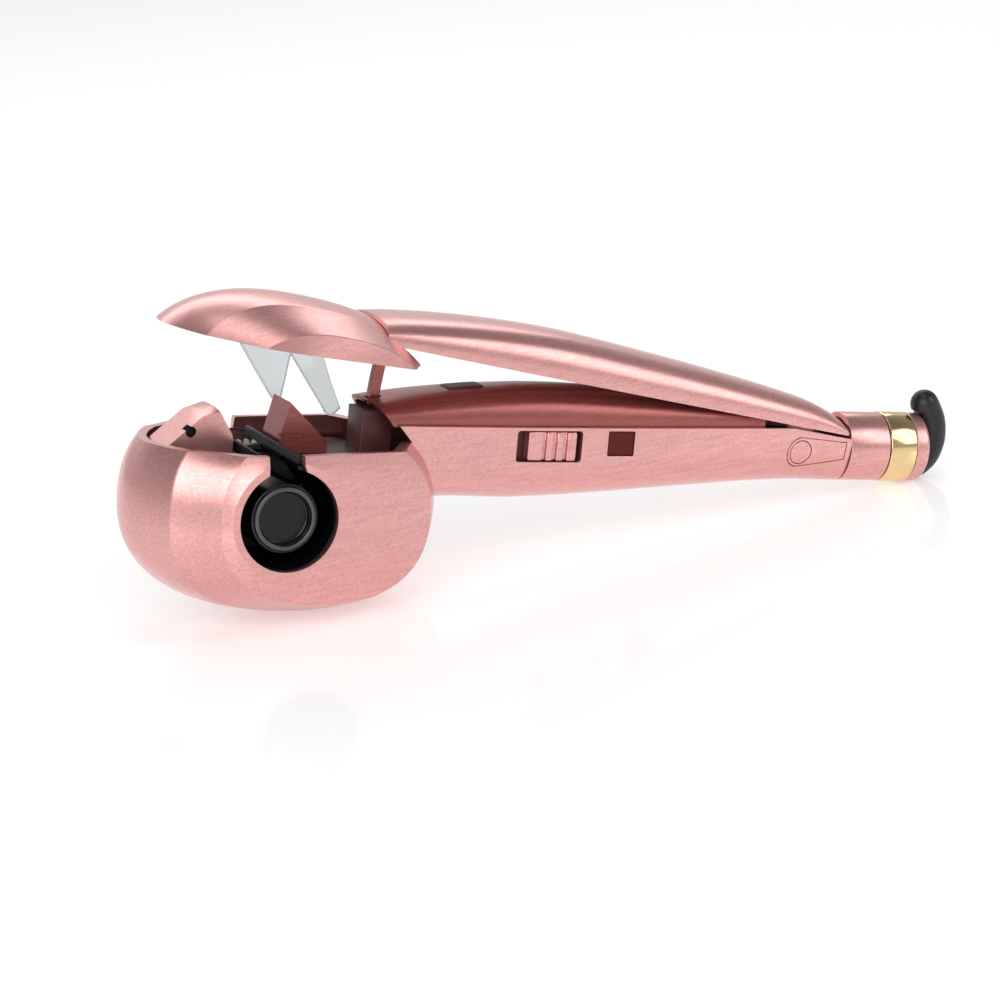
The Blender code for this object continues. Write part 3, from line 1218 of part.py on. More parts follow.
# ---------------------------------------------------------------- build
lower_shell()
top_cover()
closing_bumper()
arm_shell()
head_cap()
cap_liner()
cap_bracket()
jaw_deck()
throat_lip("throat_lip_front", THROAT_X0, -0.3)
throat_lip("throat_lip_rear", THROAT_X1, 0.25)
front_wedge()
rear_wedge()
fin("guide_fork", [(-12.7, 28.6), (1.6, 13.2), (13.5, 0.9), (15.4, -1.0), (18.6, -1.0), (18.3, 15.6),
                   (36.3, -2.4), (38.8, -2.8), (41.3, 0.3), (35.2, 9.2), (24.0, 27.6), (23.0, 28.6)])
actuator_rod()
chamber_liner()
heater_barrel()
barrel_end_ring()
heater_core()
thermal_fuse()
rotor()
rotor_gear()
idler_gear()
idler_axle()
motor_pinion()
drive_motor()
drive_chassis()
for number, (sx, sz) in enumerate(CHASSIS_SCREWS, 1):
    screw(f"chassis_screw_{number}", "y", (sx, sz), CHASSIS_Y - GAP, CHASSIS_Y + 8 * MM, device)
for number, sy in enumerate((-9 * MM, 9 * MM), 1):
    screw(f"cap_screw_{number}", "x", (sy, CAP_SCREW_Z), ARM_START_X + 1.8 * MM + GAP, 27.6 * MM, arm_frame, 1.2 * MM, 2.0 * MM)
control_board()
switch_plate()
slide_knob()
slide_switch()
indicator_lens()
start_plunger()
switch_bracket()
plunger_spring()
microswitch()
hinge_block()
hinge_pin()
pin_cap("pin_cap_near", -1)
pin_cap("pin_cap_far", 1)
hinge_cover("hinge_cover_near", -1)
hinge_cover("hinge_cover_far", 1)
return_spring()
tail_core()
tail_ring("tail_sleeve", HANDLE_END_X + GAP, SLEEVE_END_X, TAIL_RADIUS, TAIL_RADIUS - TAIL_WALL, rose)
tail_ring("gold_band", SLEEVE_END_X + GAP, BAND_END_X, TAIL_RADIUS + BAND_PROUD, TAIL_RADIUS - TAIL_WALL, gold, 0.4 * MM)
end_ring()
swivel_socket()
strain_relief()
for spare in [m for m in bpy.data.meshes if not m.users]:
    bpy.data.meshes.remove(spare)
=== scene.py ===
# %% [markdown]
# # An automatic hair curler
# The tool has a round head that holds a heated barrel, a long handle, and an arm with a domed cap
# that a spring holds open. The imported parts give the fixed frame: where each piece is and how it
# moves. This script gives those pieces their finished surfaces. It starts by loading the frame.

import json
from math import acos, asin, cos, degrees, pi, radians, sin, tan

import bmesh
import bpy
from mathutils import Matrix, Vector


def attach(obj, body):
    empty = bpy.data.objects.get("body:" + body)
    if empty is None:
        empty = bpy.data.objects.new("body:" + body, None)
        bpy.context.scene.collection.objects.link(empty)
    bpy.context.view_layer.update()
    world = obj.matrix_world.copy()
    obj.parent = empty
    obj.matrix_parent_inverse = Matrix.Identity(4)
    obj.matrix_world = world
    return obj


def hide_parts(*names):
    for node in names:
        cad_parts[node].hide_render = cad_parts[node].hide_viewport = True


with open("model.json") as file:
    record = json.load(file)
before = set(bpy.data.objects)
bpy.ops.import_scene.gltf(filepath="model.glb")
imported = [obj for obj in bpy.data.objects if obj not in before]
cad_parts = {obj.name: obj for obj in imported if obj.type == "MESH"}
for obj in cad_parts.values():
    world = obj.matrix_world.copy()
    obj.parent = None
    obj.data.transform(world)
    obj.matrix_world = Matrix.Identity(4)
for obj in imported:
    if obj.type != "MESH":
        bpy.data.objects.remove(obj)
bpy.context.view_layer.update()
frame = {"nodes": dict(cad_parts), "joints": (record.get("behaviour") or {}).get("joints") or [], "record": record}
print("parts in the frame:", len(frame["nodes"]))

# %% [markdown]
# ## The device's own axes
# The tool leans: it rests on the flat under its head and on its tail. Its shapes are far simpler to
# write down along its own axes, with X along the handle and Z square to the plane where the jaws
# part. The joints in the frame say where those axes are: the rotor turns about the origin, and the
# swivel turns about the handle's length. One matrix then carries a shape from the device's axes to
# the frame's. Pieces on the arm get one more turn, about the hinge, because the arm is drawn shut
# and shown open.

# %% The two placements
MM = 0.001
joints = {joint["name"]: joint for joint in frame["joints"]}
port = Vector(joints["rotor_spin"]["pos_m"])
handle_way = Vector(joints["swivel_turn"]["axis"])
lean = -asin(handle_way.z)
open_angle = -radians(joints["arm_hinge"]["range_deg"][0])
device = Matrix.Translation(port) @ Matrix.Rotation(lean, 4, "Y")
hinge = device.inverted() @ Vector(joints["arm_hinge"]["pos_m"])
swing = Matrix.Translation(hinge) @ Matrix.Rotation(open_angle, 4, "Y") @ Matrix.Translation(-hinge)
on_arm = device @ swing
print("lean in degrees:", round(degrees(lean), 2), "hinge in mm:", [round(v / MM, 1) for v in hinge])

# %% [markdown]
# ## The head's driving sizes
# All sizes are in millimetres along the device's axes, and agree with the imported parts. The head
# could be traced as a mesh, but a handful of half sizes says more: the whole ball, the belt round
# its middle, and the flat side face. Everything on the head is worked out from them.

# %% Sizes of the head
HEAD_X, HEAD_Z = 8.8, 0.6
HEAD_HALF_LENGTH, HEAD_HALF_HEIGHT, HEAD_HALF_WIDTH = 56.0, 38.0, 36.3
HEAD_SQUARENESS = 2.35
BELT_HALF_SIDE, BELT_HALF_TOP = 24.0, 15.0
BELT_LENGTH, BELT_HEIGHT = 47.0, 36.2
BELT_CROWN, FACET_CROWN = 1.75, 0.92
FACE_HALF_SIDE, FACE_HALF_TOP = 34.6, 32.6
FACE_X, FACE_LENGTH, FACE_HEIGHT = 14.0, 37.6, 30.2
MOUTH_RADIUS, MOUTH_MARGIN = 17.5, 2.5
WALL = 2.2
RIM_Z, RIM_SLOPE, CAP_RISE, CAP_SLOPE = 22.0, 0.04, 0.9, 0.052
print("head in mm:", 2 * HEAD_HALF_LENGTH, "x", 2 * HEAD_HALF_WIDTH, "x", 2 * HEAD_HALF_HEIGHT)

# %% [markdown]
# ## The long lines of the handle and the arm
# The handle and the arm taper along gentle curves. Each curve is a short list of stations: a place
# along the handle, and the height or half width there. A few stations keep a line fair, where many
# would let it wobble under a glossy finish.

# %% Stations of the handle and the arm
SEAM_Z = 29.6
HANDLE_START, HANDLE_END = 20.0, 222.4
ARM_START, ARM_END = 33.0, 219.5
PIVOT_X, PIVOT_Z = 201.5, 20.8
ARM_CROWN = [(30, 36.6), (36, 38.2), (43, 39.6), (60, 42.0), (80, 43.8), (103, 44.7),
             (136, 43.6), (169, 41.8), (201.5, 39.0), (212, 36.8), (217, 34.6), (219.5, 32.6)]
HALF_WIDTH = [(20, 18.6), (40, 19.6), (60, 20.0), (100, 19.5), (140, 18.0), (170, 16.3),
              (201.5, 14.2), (222.4, 12.3)]
KEEL = [(20, -1.0), (45, 1.2), (67, 2.4), (93, 2.0), (123, 3.6), (160, 6.4), (198, 8.8),
        (222.4, 8.5)]
print("handle in mm:", round(HANDLE_END - HANDLE_START, 1), "long,", 2 * HALF_WIDTH[2][1], "wide")

# %% [markdown]
# ## Curves
# Stations could be joined by straight lines, but each joint would show as a crease in the lacquer.
# A cubic between every two stations, with slopes taken from their neighbours, passes through them
# all and stays smooth. The signed power bends a circle into the squarer ovals of this casing.

# %% Blends, curves and powers
def blend(a, b, t):
    return a + (b - a) * t


def along(stations, x):
    """The smooth curve through the stations, read at x."""
    x = min(max(x, stations[0][0]), stations[-1][0])
    i = max(k for k in range(len(stations) - 1) if stations[k][0] <= x)
    (x1, v1), (x2, v2) = stations[i], stations[i + 1]
    x0, v0 = stations[i - 1] if i else (2 * x1 - x2, 2 * v1 - v2)
    x3, v3 = stations[i + 2] if i + 2 < len(stations) else (2 * x2 - x1, 2 * v2 - v1)
    m1 = (v2 - v0) / (x2 - x0) * (x2 - x1)
    m2 = (v3 - v1) / (x3 - x1) * (x2 - x1)
    t = (x - x1) / (x2 - x1)
    return ((2 * t**3 - 3 * t**2 + 1) * v1 + (t**3 - 2 * t**2 + t) * m1
            + (3 * t**2 - 2 * t**3) * v2 + (t**3 - t**2) * m2)


def power(value, exponent):
    return abs(value) ** exponent * (1 if value >= 0 else -1)


print("arm's crown above the switch, in mm:", round(along(ARM_CROWN, 100), 2))

# %% [markdown]
# ## Lofts, prisms and bars
# A moulded casing has a section that changes along its length. It could be pushed about by hand or
# built from a subdivided cage, but a loft follows measured sections exactly: rings of points, with
# a strip of faces between each two. A prism is a loft of two rings, and a bar is a prism of a
# rectangle.

# %% Lofted solids
LAY = {"x": lambda u, v, h: (h, u, v), "y": lambda u, v, h: (u, h, v), "z": lambda u, v, h: (u, v, h)}


def solid(name, bm):
    """An object with the mesh in it, its faces turned outward."""
    bmesh.ops.recalc_face_normals(bm, faces=bm.faces)
    mesh = bpy.data.meshes.new(name)
    bm.to_mesh(mesh)
    bm.free()
    made = bpy.data.objects.new(name, mesh)
    bpy.context.scene.collection.objects.link(made)
    return made


def loft(name, rings):
    """Rings of points with faces between them, closed at both ends."""
    bm = bmesh.new()
    made = [[bm.verts.new(p) for p in ring] for ring in rings]
    for a, b in zip(made, made[1:]):
        for i in range(len(a)):
            j = (i + 1) % len(a)
            bm.faces.new((a[i], a[j], b[j], b[i]))
    bm.faces.new(made[0][::-1])
    bm.faces.new(made[-1])
    return solid(name, bm)


def prism(name, outline, axis, low, high):
    """An outline pushed from low to high along an axis."""
    return loft(name, [[LAY[axis](u, v, h) for u, v in outline] for h in (low, high)])


def bar(name, x, y, z):
    return prism(name, [(x[0], y[0]), (x[1], y[0]), (x[1], y[1]), (x[0], y[1])], "z", *z)


print("a prism can lie along", ", ".join(LAY))

# %% [markdown]
# ## Lathes and rods
# The tail's rings, the barrel and the chamber are turned work. Blender's own cylinder gives only
# straight sides, so a profile of radii and heights is turned round an axis instead, as on a lathe.
# A point on the axis makes one corner, and a profile that stays off the axis closes into a ring.

# %% Turned solids
TURNED_SIDES = 96


def lathe(name, profile, axis, centre=(0, 0), sides=TURNED_SIDES):
    """A profile of (radius, height) points turned round an axis."""
    bm = bmesh.new()
    rings = []
    for radius, height in profile:
        count = sides if radius > 1e-6 else 1
        turns = [2 * pi * k / sides for k in range(count)]
        circle = [(centre[0] + radius * cos(a), centre[1] + radius * sin(a)) for a in turns]
        rings.append([bm.verts.new(LAY[axis](u, v, height)) for u, v in circle])
    pairs = list(zip(rings, rings[1:]))
    if len(rings[0]) > 1 and len(rings[-1]) > 1:
        pairs.append((rings[-1], rings[0]))
    for a, b in pairs:
        for k in range(sides):
            n = (k + 1) % sides
            corners = [a[k % len(a)], a[n % len(a)], b[n % len(b)], b[k % len(b)]]
            distinct = list(dict.fromkeys(corners))
            if len(distinct) > 2:
                bm.faces.new(distinct)
    return solid(name, bm)


def rod(name, radius, axis, low, high, centre=(0, 0), sides=64):
    return lathe(name, [(0, low), (radius, low), (radius, high), (0, high)], axis, centre, sides)


print("a turned piece has", TURNED_SIDES, "sides")

# %% [markdown]
# ## Cutting and joining
# A toolmaker lets inserts into a mould, and the plastic comes out with those openings. A Boolean
# does the same to a finished loft. Faces could be deleted and rebuilt by hand, but a Boolean keeps
# the wall closed, and the exact solver keeps the cut edge crisp. The modifier is applied at once
# and its tool thrown away.

# %% Cut and join
def combine(target, tool, operation):
    step = target.modifiers.new("combine", "BOOLEAN")
    step.operation = operation
    step.object = tool
    bpy.context.view_layer.update()
    graph = bpy.context.evaluated_depsgraph_get()
    mesh = bpy.data.meshes.new_from_object(target.evaluated_get(graph))
    target.modifiers.clear()
    target.data = mesh
    bpy.data.objects.remove(tool)
    return target


def cut(target, tool):
    return combine(target, tool, "DIFFERENCE")


def join(target, tool):
    return combine(target, tool, "UNION")


sample = cut(rod("sample", 2, "z", 0, 1), rod("hole", 1, "z", -1, 2))
print("faces of a cut washer:", len(sample.data.polygons))
bpy.data.objects.remove(sample)

# %% [markdown]
# ## Finishing a piece
# No moulded edge is truly sharp: each is broken by a small radius that catches a line of light. A
# bevel modifier adds that radius after the cuts, which is easier than drawing it into every
# outline. A finished piece is scaled from millimetres, carried to its place, merged where a cut
# left doubled points, and given its bevel, smooth shading and material. It then rides on its body
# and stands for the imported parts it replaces.

# %% Place a piece
def settle(piece, finish, body, *nodes, place=None, edge=0.25, angle=32, crease=None, slot=None):
    """Carries a piece drawn in millimetres to its place, and gives it its edges and its finish."""
    bm = bmesh.new()
    bm.from_mesh(piece.data)
    bmesh.ops.remove_doubles(bm, verts=bm.verts, dist=0.01)
    bmesh.ops.dissolve_degenerate(bm, dist=0.01, edges=bm.edges)
    bmesh.ops.recalc_face_normals(bm, faces=bm.faces)
    bm.to_mesh(piece.data)
    bm.free()
    piece.data.transform((place or device) @ Matrix.Scale(MM, 4))
    piece.data.materials.clear()
    piece.data.materials.append(finish)
    piece.data.shade_smooth()
    if edge:
        soften = piece.modifiers.new("edge", "BEVEL")
        soften.width = edge * MM
        soften.segments = 2
        soften.limit_method = "ANGLE"
        soften.angle_limit = radians(angle)
        soften.harden_normals = False
    piece.data.set_sharp_from_angle(angle=radians(crease or angle))
    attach(piece, body)
    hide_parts(*nodes)
    return piece


# %% [markdown]
# ## Colours and nodes
# Colours are written as sRGB hex values, the way a paint maker gives them. A shader adds light up
# in linear values, so one function turns the one into the other. Node trees could be laid out by
# hand in the editor, but in a script one small function that adds a node, with its settings and
# its links, keeps a whole finish readable in a few lines.

# %% Colour and nodes
def linear(hex_value):
    """The linear colour of an sRGB hex value."""
    channels = [int(hex_value[i:i + 2], 16) / 255 for i in (1, 3, 5)]
    return (*[c / 12.92 if c <= 0.04045 else ((c + 0.055) / 1.055) ** 2.4 for c in channels], 1.0)


def add(tree, kind, inputs=None, **settings):
    """Adds a shader node. Each input is a value, or the socket that feeds it."""
    made = tree.nodes.new(kind)
    for key, value in settings.items():
        setattr(made, key, value)
    for key, value in (inputs or {}).items():
        if isinstance(value, bpy.types.NodeSocket):
            tree.links.new(value, made.inputs[key])
        else:
            made.inputs[key].default_value = value
    return made


print("mid grey as linear light:", round(linear("#808080")[0], 3))

# %% [markdown]
# ## What every finish shares
# Each finish starts from what the real one is: its colour, its roughness, and whether it is a
# metal. On top of that, no real surface is even. A slow haze in the roughness and a very shallow
# relief keep it from looking like flat paint. An image texture would need unwrapping, so the noise
# is read from the piece's own coordinates, at a size given in millimetres.

# %% The start of a finish, its grain and its touch
def start(name, color, roughness, metallic=0.0, **sockets):
    """A material with its shader's plain values set, and the tree for its detail."""
    made = bpy.data.materials.new(name)
    made.use_nodes = True
    tree = made.node_tree
    shader = tree.nodes["Principled BSDF"]
    shader.inputs["Base Color"].default_value = linear(color)
    shader.inputs["Roughness"].default_value = roughness
    shader.inputs["Metallic"].default_value = metallic
    for key, value in sockets.items():
        shader.inputs[key.replace("_", " ")].default_value = value
    made.diffuse_color = linear(color)
    return made, tree, shader


def grain(tree, size_mm, detail=2.0, stretch=(1, 1, 1)):
    """Noise whose blobs are about size_mm across, on the piece's own coordinates."""
    where = add(tree, "ShaderNodeTexCoord")
    sized = add(tree, "ShaderNodeMapping", {"Vector": where.outputs["Object"], "Scale": stretch})
    noise = add(tree, "ShaderNodeTexNoise", {
        "Vector": sized.outputs["Vector"], "Scale": 0.5 / (size_mm * MM), "Detail": detail})
    return noise.outputs["Fac"]


GRAIN_RANGE = {"From Min": 0.3, "From Max": 0.7}


def touch(tree, shader, haze, low, high, relief, height_mm, strength):
    """Lets the roughness wander from low to high with the haze, and raises the relief."""
    rough = add(tree, "ShaderNodeMapRange", {"Value": haze, **GRAIN_RANGE, "To Min": low, "To Max": high})
    bump = add(tree, "ShaderNodeBump", {
        "Height": relief, "Distance": height_mm * MM, "Strength": strength})
    tree.links.new(rough.outputs["Result"], shader.inputs["Roughness"])
    tree.links.new(bump.outputs["Normal"], shader.inputs["Normal"])


print("noise is used between", GRAIN_RANGE["From Min"], "and", GRAIN_RANGE["From Max"])

# %% [markdown]
# ### Rose-gold pearl lacquer
# The casing is ABS, sprayed with a base coat that carries fine aluminium and mica flakes, then with
# a satin clear coat. It could be a plain plastic with a pink colour, but under a soft light flakes
# brighten the faces that turn towards it and leave the rest deep, so the base is mostly metallic.
# Real flakes are about 0.05 mm, too fine to show, so they are drawn at 0.35 mm. The coat is lightly
# brushed along the handle too, with lines about 0.45 mm apart, which give the sheen its direction.

# %% Rose-gold lacquer
FLAKE_MM, BRUSH_MM, CLOUD_MM = 0.35, 0.45, 14.0


def pearl_lacquer(name, light, deep, roughness, metallic):
    coat = {"Coat_Weight": 0.3, "Coat_Roughness": 0.16}
    made, tree, shader = start(name, light, roughness, metallic, **coat)
    flakes = grain(tree, FLAKE_MM, 1.0)
    lines = grain(tree, BRUSH_MM, 2.0, (0.07, 1, 1))
    cloud = grain(tree, CLOUD_MM, 2.0)
    depths = [add(tree, "ShaderNodeMapRange", {
        "Value": source, **GRAIN_RANGE, "To Min": 0.0, "To Max": depth}).outputs["Result"]
        for source, depth in ((flakes, 0.26), (lines, 0.22))]
    speckle = add(tree, "ShaderNodeMath", {0: depths[0], 1: depths[1]}, operation="ADD")
    tone = add(tree, "ShaderNodeMix", {
        "Factor": speckle.outputs[0], "A": linear(light), "B": linear(deep)}, data_type="RGBA")
    tree.links.new(tone.outputs["Result"], shader.inputs["Base Color"])
    touch(tree, shader, cloud, roughness - 0.03, roughness + 0.04, lines, 0.006, 0.6)
    return made


rose = pearl_lacquer("rose_gold_pearl_lacquer_on_abs", "#f0b4b0", "#b0706c", 0.30, 0.86)
rose_shade = pearl_lacquer("rose_gold_lacquer_on_inner_moulding", "#b0645d", "#703a36", 0.34, 0.75)
print("lacquers:", rose.name, "and", rose_shade.name)

# %% [markdown]
# ### Moulded plastics
# The inside of the jaws is a dark maroon ABS with a fine moulded texture. The chamber's parts are
# black heat-proof nylon and a glazed ceramic coat, and the cord guard is a soft black rubber. All
# of them come from a mould or a dip, so one recipe serves: the slow haze shows how evenly the
# surface set, and the shallow relief is the mould's own texture, drawn coarse enough to show.

# %% Plastics and ceramic
HAZE_MM = 9.0


def moulded(name, color, roughness, grain_mm, height_mm, **sockets):
    made, tree, shader = start(name, color, roughness, **sockets)
    texture = grain(tree, grain_mm, 3.0)
    haze = grain(tree, HAZE_MM, 2.0)
    touch(tree, shader, haze, roughness - 0.05, roughness + 0.07, texture, height_mm, 0.6)
    return made


maroon = moulded("maroon_abs_satin", "#552a2b", 0.36, 0.5, 0.012)
nylon = moulded("black_glass_filled_nylon", "#0e0e10", 0.46, 0.4, 0.015)
glaze = moulded("black_ceramic_coat", "#08080b", 0.26, 0.9, 0.006, Specular_IOR_Level=0.35)
rubber = moulded("black_thermoplastic_rubber", "#101112", 0.38, 0.5, 0.02)
soft_maroon = moulded("maroon_thermoplastic_rubber", "#5a2b2a", 0.42, 0.5, 0.02)
acetal = moulded("white_acetal", "#dcd9cc", 0.4, 0.6, 0.008)
board_green = moulded("green_solder_mask", "#1d5a35", 0.4, 0.8, 0.01)
smoked = moulded("smoked_red_acrylic", "#651b19", 0.2, 0.8, 0.002, Specular_IOR_Level=0.22)
print("plastics:", maroon.name, nylon.name, glaze.name, rubber.name)

# %% [markdown]
# ### Clear polycarbonate
# The hair fork is a clear moulding with rounded edges. Mixing in a transparent shader would hide
# it, so it lets light through with the index of polycarbonate, 1.58, which bends what is behind.
# Slight haze from its mould keeps it visible against a white ground.

# %% Clear plastic
CLEAR_LOOK = {"IOR": 1.58, "Transmission_Weight": 0.86}
clear, clear_tree, clear_shader = start("clear_polycarbonate", "#e6eaec", 0.09, **CLEAR_LOOK)
clear_haze = grain(clear_tree, 3.0, 2.0)
touch(clear_tree, clear_shader, clear_haze, 0.05, 0.16, clear_haze, 0.02, 0.4)
print("clear plastic:", clear.name)

# %% [markdown]
# ### Metals
# The tail's band is a plated ring, polished to a mirror. The barrel's rim is a turned silver edge,
# and the screws, brackets and springs are plain steel with fine lines from rolling or turning. An
# anisotropic shader could spread the highlight across those lines, but real lines, drawn as a
# stretched grain in the roughness and the relief, also break it up close.

# %% Metals
def turned_metal(name, color, roughness, line_mm, height_mm, stretch=(1, 1, 1)):
    made, tree, shader = start(name, color, roughness, 1.0)
    lines = grain(tree, line_mm, 2.0, stretch)
    touch(tree, shader, lines, roughness - 0.03, roughness + 0.05, lines, height_mm, 0.4)
    return made


gold = turned_metal("polished_gold_plating", "#e8cd9a", 0.12, 1.2, 0.002, (0.2, 1, 1))
silver = turned_metal("turned_aluminium_edge", "#5c585e", 0.34, 0.5, 0.003)
steel = turned_metal("zinc_plated_steel", "#aeb0b4", 0.32, 0.6, 0.006, (0.15, 1, 1))
brass = turned_metal("machined_brass", "#b58d55", 0.35, 0.5, 0.004)
print("metals:", gold.name, silver.name, steel.name, brass.name)

# %% [markdown]
# ## The head
# The head is a squashed ball with three zones: a crowned belt round the middle, a facet that slopes
# to the side, and a flat side face round the chamber's mouth. Where zones meet, a soft edge runs as
# a curve round the head. A subdivided cage would blur those edges or need many creases, so the ball
# is lofted across its width, with one rule for each zone's rings.

# %% One ring of the head
def head_ring(share, inset, sides):
    """A ring of the head: share is 0 at the middle, 1 at the belt's edge, 2 at the face, 3 at the mouth."""
    ring = []
    for k in range(sides):
        a = 2 * pi * k / sides
        level = sin(a) ** 2
        belt = blend(BELT_HALF_SIDE, BELT_HALF_TOP, level)
        face = blend(FACE_HALF_SIDE, FACE_HALF_TOP, level)
        exponent = 2 / HEAD_SQUARENESS
        centre_z = HEAD_Z
        if share <= 1:
            t = share**BELT_CROWN
            centre_x, length = HEAD_X, blend(HEAD_HALF_LENGTH, BELT_LENGTH, t)
            height = blend(HEAD_HALF_HEIGHT, BELT_HEIGHT, t)
            y = belt * share
        elif share <= 2:
            t = (share - 1) ** FACET_CROWN
            centre_x, length = blend(HEAD_X, FACE_X, t), blend(BELT_LENGTH, FACE_LENGTH, t)
            height = blend(BELT_HEIGHT, FACE_HEIGHT, t)
            y = blend(belt, face, share - 1)
        else:
            t = share - 2
            mouth = MOUTH_RADIUS + MOUTH_MARGIN
            centre_x, length = blend(FACE_X, 0, t), blend(FACE_LENGTH, mouth, t)
            height = blend(FACE_HEIGHT, mouth, t)
            exponent = blend(exponent, 1.0, t)
            centre_z = HEAD_Z * (3 - share)
            y = blend(face, HEAD_HALF_WIDTH, t)
        x = centre_x + (length - inset) * power(cos(a), exponent)
        z = centre_z + (height - inset) * power(sin(a), exponent)
        ring.append((x, y * (1 - inset / HEAD_HALF_WIDTH), z))
    return ring


front_point = head_ring(0, 0, 4)[2]
print("head's front in mm:", [round(v, 1) for v in front_point])

# %% [markdown]
# ### The ball from its rings
# Bowl and cap are one ball, parted by a cut, so that their surfaces line up when the jaws are shut.
# Rings are packed close on both sides of each edge, because smooth shading spreads an edge over the
# whole gap between two rings. The hollow inside is never seen close up, so a few rings do for it.

# %% The head's ball
FINE_SHARES = [3, 2.6, 2.25, 2.05, 2.01, 1.98, 1.8, 1.6, 1.4, 1.2, 1.05, 1.012,
               0.988, 0.95, 0.85, 0.7, 0.55, 0.4, 0.25, 0.1, 0]
PLAIN_SHARES = [3, 2, 1.5, 1, 0.66, 0.33, 0]


def head_ball(inset=0.0, sides=144, shares=FINE_SHARES):
    rings = [[(x, -y, z) for x, y, z in head_ring(s, inset, sides)] for s in shares]
    rings += [head_ring(s, inset, sides) for s in shares[-2::-1]]
    return loft("head", rings)


def inner_ball(inset):
    return head_ball(inset, 72, PLAIN_SHARES)


print("rings across the head:", 2 * len(FINE_SHARES) - 1)

# %% [markdown]
# ## The handle's lower half
# Seen from the end, the handle's lower half has a round belly and flat sides. The belly's curve ends
# at a crease that climbs slowly towards the tail, and above it the flat side panel runs up to the
# seam. A bevelled box could come near it, but then the crease would stay level. Here each section is
# worked out so that the belly meets the panel exactly at the crease.

# %% The handle's section
CREASE_X, CREASE_Z, CREASE_CLIMB, CREASE_TOP = 58.0, 11.0, 0.088, 24.0
BELLY_SQUARENESS = 2.3


def handle_half(x, inset, top, steps=14):
    """Half a section of the handle, from its keel round the belly and up the flat side."""
    keel, half = along(KEEL, x), along(HALF_WIDTH, x)
    depth = SEAM_Z - keel
    low = min(CREASE_Z + (x - CREASE_X) * CREASE_CLIMB, CREASE_TOP)
    reach = (SEAM_Z - low) / depth
    swell = half / (1 - reach**BELLY_SQUARENESS) ** (1 / BELLY_SQUARENESS)
    crease = acos(reach ** (BELLY_SQUARENESS / 2))
    points = []
    for k in range(steps + 1):
        a = crease * k / steps
        y = swell * sin(a) ** (2 / BELLY_SQUARENESS)
        z = SEAM_Z - depth * cos(a) ** (2 / BELLY_SQUARENESS)
        side = min(1.0, y / (0.5 * half))
        lift = 1 - min(1.0, (z - keel) / (0.6 * depth))
        points.append((max(y - inset * side, 0.0), z + inset * lift))
    points.append((half - inset, top))
    return points


def handle_bar(inset=0.0, top=SEAM_Z + 2, start_x=HANDLE_START, end_x=HANDLE_END, count=64):
    rings = []
    for k in range(count + 1):
        x = blend(start_x, end_x, k / count)
        half = handle_half(x, inset, top)
        rings.append([(x, y, z) for y, z in half] + [(x, -y, z) for y, z in half[:0:-1]])
    return loft("handle", rings)


print("points round a section of the handle:", 2 * len(handle_half(60, 0, SEAM_Z)) - 1)

# %% [markdown]
# ## Outlines with round corners
# The switch's recess, the window and the hinge covers are flat shapes with arcs in them. Straight
# corners rounded by a bevel would also round the edges that should stay crisp, so each arc is part
# of the outline. The hinge cover is a tongue: a round end about the pin, drawn out to a blunt tip.

# %% Arcs, tongues and rounded rectangles
TONGUE_RADIUS, TONGUE_LENGTH = 5.4, 18.6


def arc(centre, radius, first, last, count):
    angles = [radians(blend(first, last, k / count)) for k in range(count + 1)]
    return [(centre[0] + radius * cos(a), centre[1] + radius * sin(a)) for a in angles]


def tongue(grow=0.0):
    """The hinge cover's outline: a round end about the pin, drawn out to a blunt tip."""
    tip = PIVOT_X + TONGUE_LENGTH + grow
    blunt = [(tip, PIVOT_Z - 2.6 - grow), (tip, PIVOT_Z + 3.4 + grow)]
    return arc((PIVOT_X, PIVOT_Z), TONGUE_RADIUS + grow, 98, 262, 24) + blunt


def rounded(x, z, r, count=5):
    """A rectangle in x and z with round corners of radius r."""
    corners = [((x[1] - r, z[1] - r), 0), ((x[0] + r, z[1] - r), 90),
               ((x[0] + r, z[0] + r), 180), ((x[1] - r, z[0] + r), 270)]
    return [p for centre, first in corners for p in arc(centre, r, first, first + 90, count)]


print("points round the hinge cover:", len(tongue()))

# %% [markdown]
# ## The lower shell
# Bowl and handle are one moulding, so they are joined first and then hollowed as one, which leaves
# an even wall. Modelling the wall with a solidify modifier would fold over itself at the crease.
# The parting line is cut next: nearly level over the bowl's rim, a step up to the handle's seam, and
# a drop behind the hinge, where the open arm comes down.

# %% The hollow shell, cut at its parting line
FAR, STEP_RIM_X, STEP_SEAM_X = 90, 49, 44
drop = tan(open_angle)
drop_x = PIVOT_X - 4
tail_x = 240

shell = join(head_ball(), handle_bar())
hollow = join(inner_ball(WALL), handle_bar(WALL, SEAM_Z + 3, HANDLE_START, HANDLE_END - 2, 30))
cut(shell, hollow)
parting = [(-FAR, RIM_Z - RIM_SLOPE * FAR), (STEP_RIM_X, RIM_Z + RIM_SLOPE * STEP_RIM_X),
           (STEP_SEAM_X, SEAM_Z), (drop_x, SEAM_Z), (tail_x, SEAM_Z - (tail_x - drop_x) * drop)]
cut(shell, prism("above", parting + [(tail_x, FAR), (-FAR, FAR)], "y", -60, 60))
print("shell before its openings:", len(shell.data.polygons), "faces")

# %% [markdown]
# ### The shell's openings
# The hair slides down a slot into the round mouth of the chamber, and the slot flares towards the
# tail so that a strand finds its way in. The switch and the window sit in recesses, and the hinge
# covers in shallow pockets. Real openings are cut, not painted dark, because each one has a wall
# whose edge catches the light. Last, the flat under the head is cut at the frame's zero.

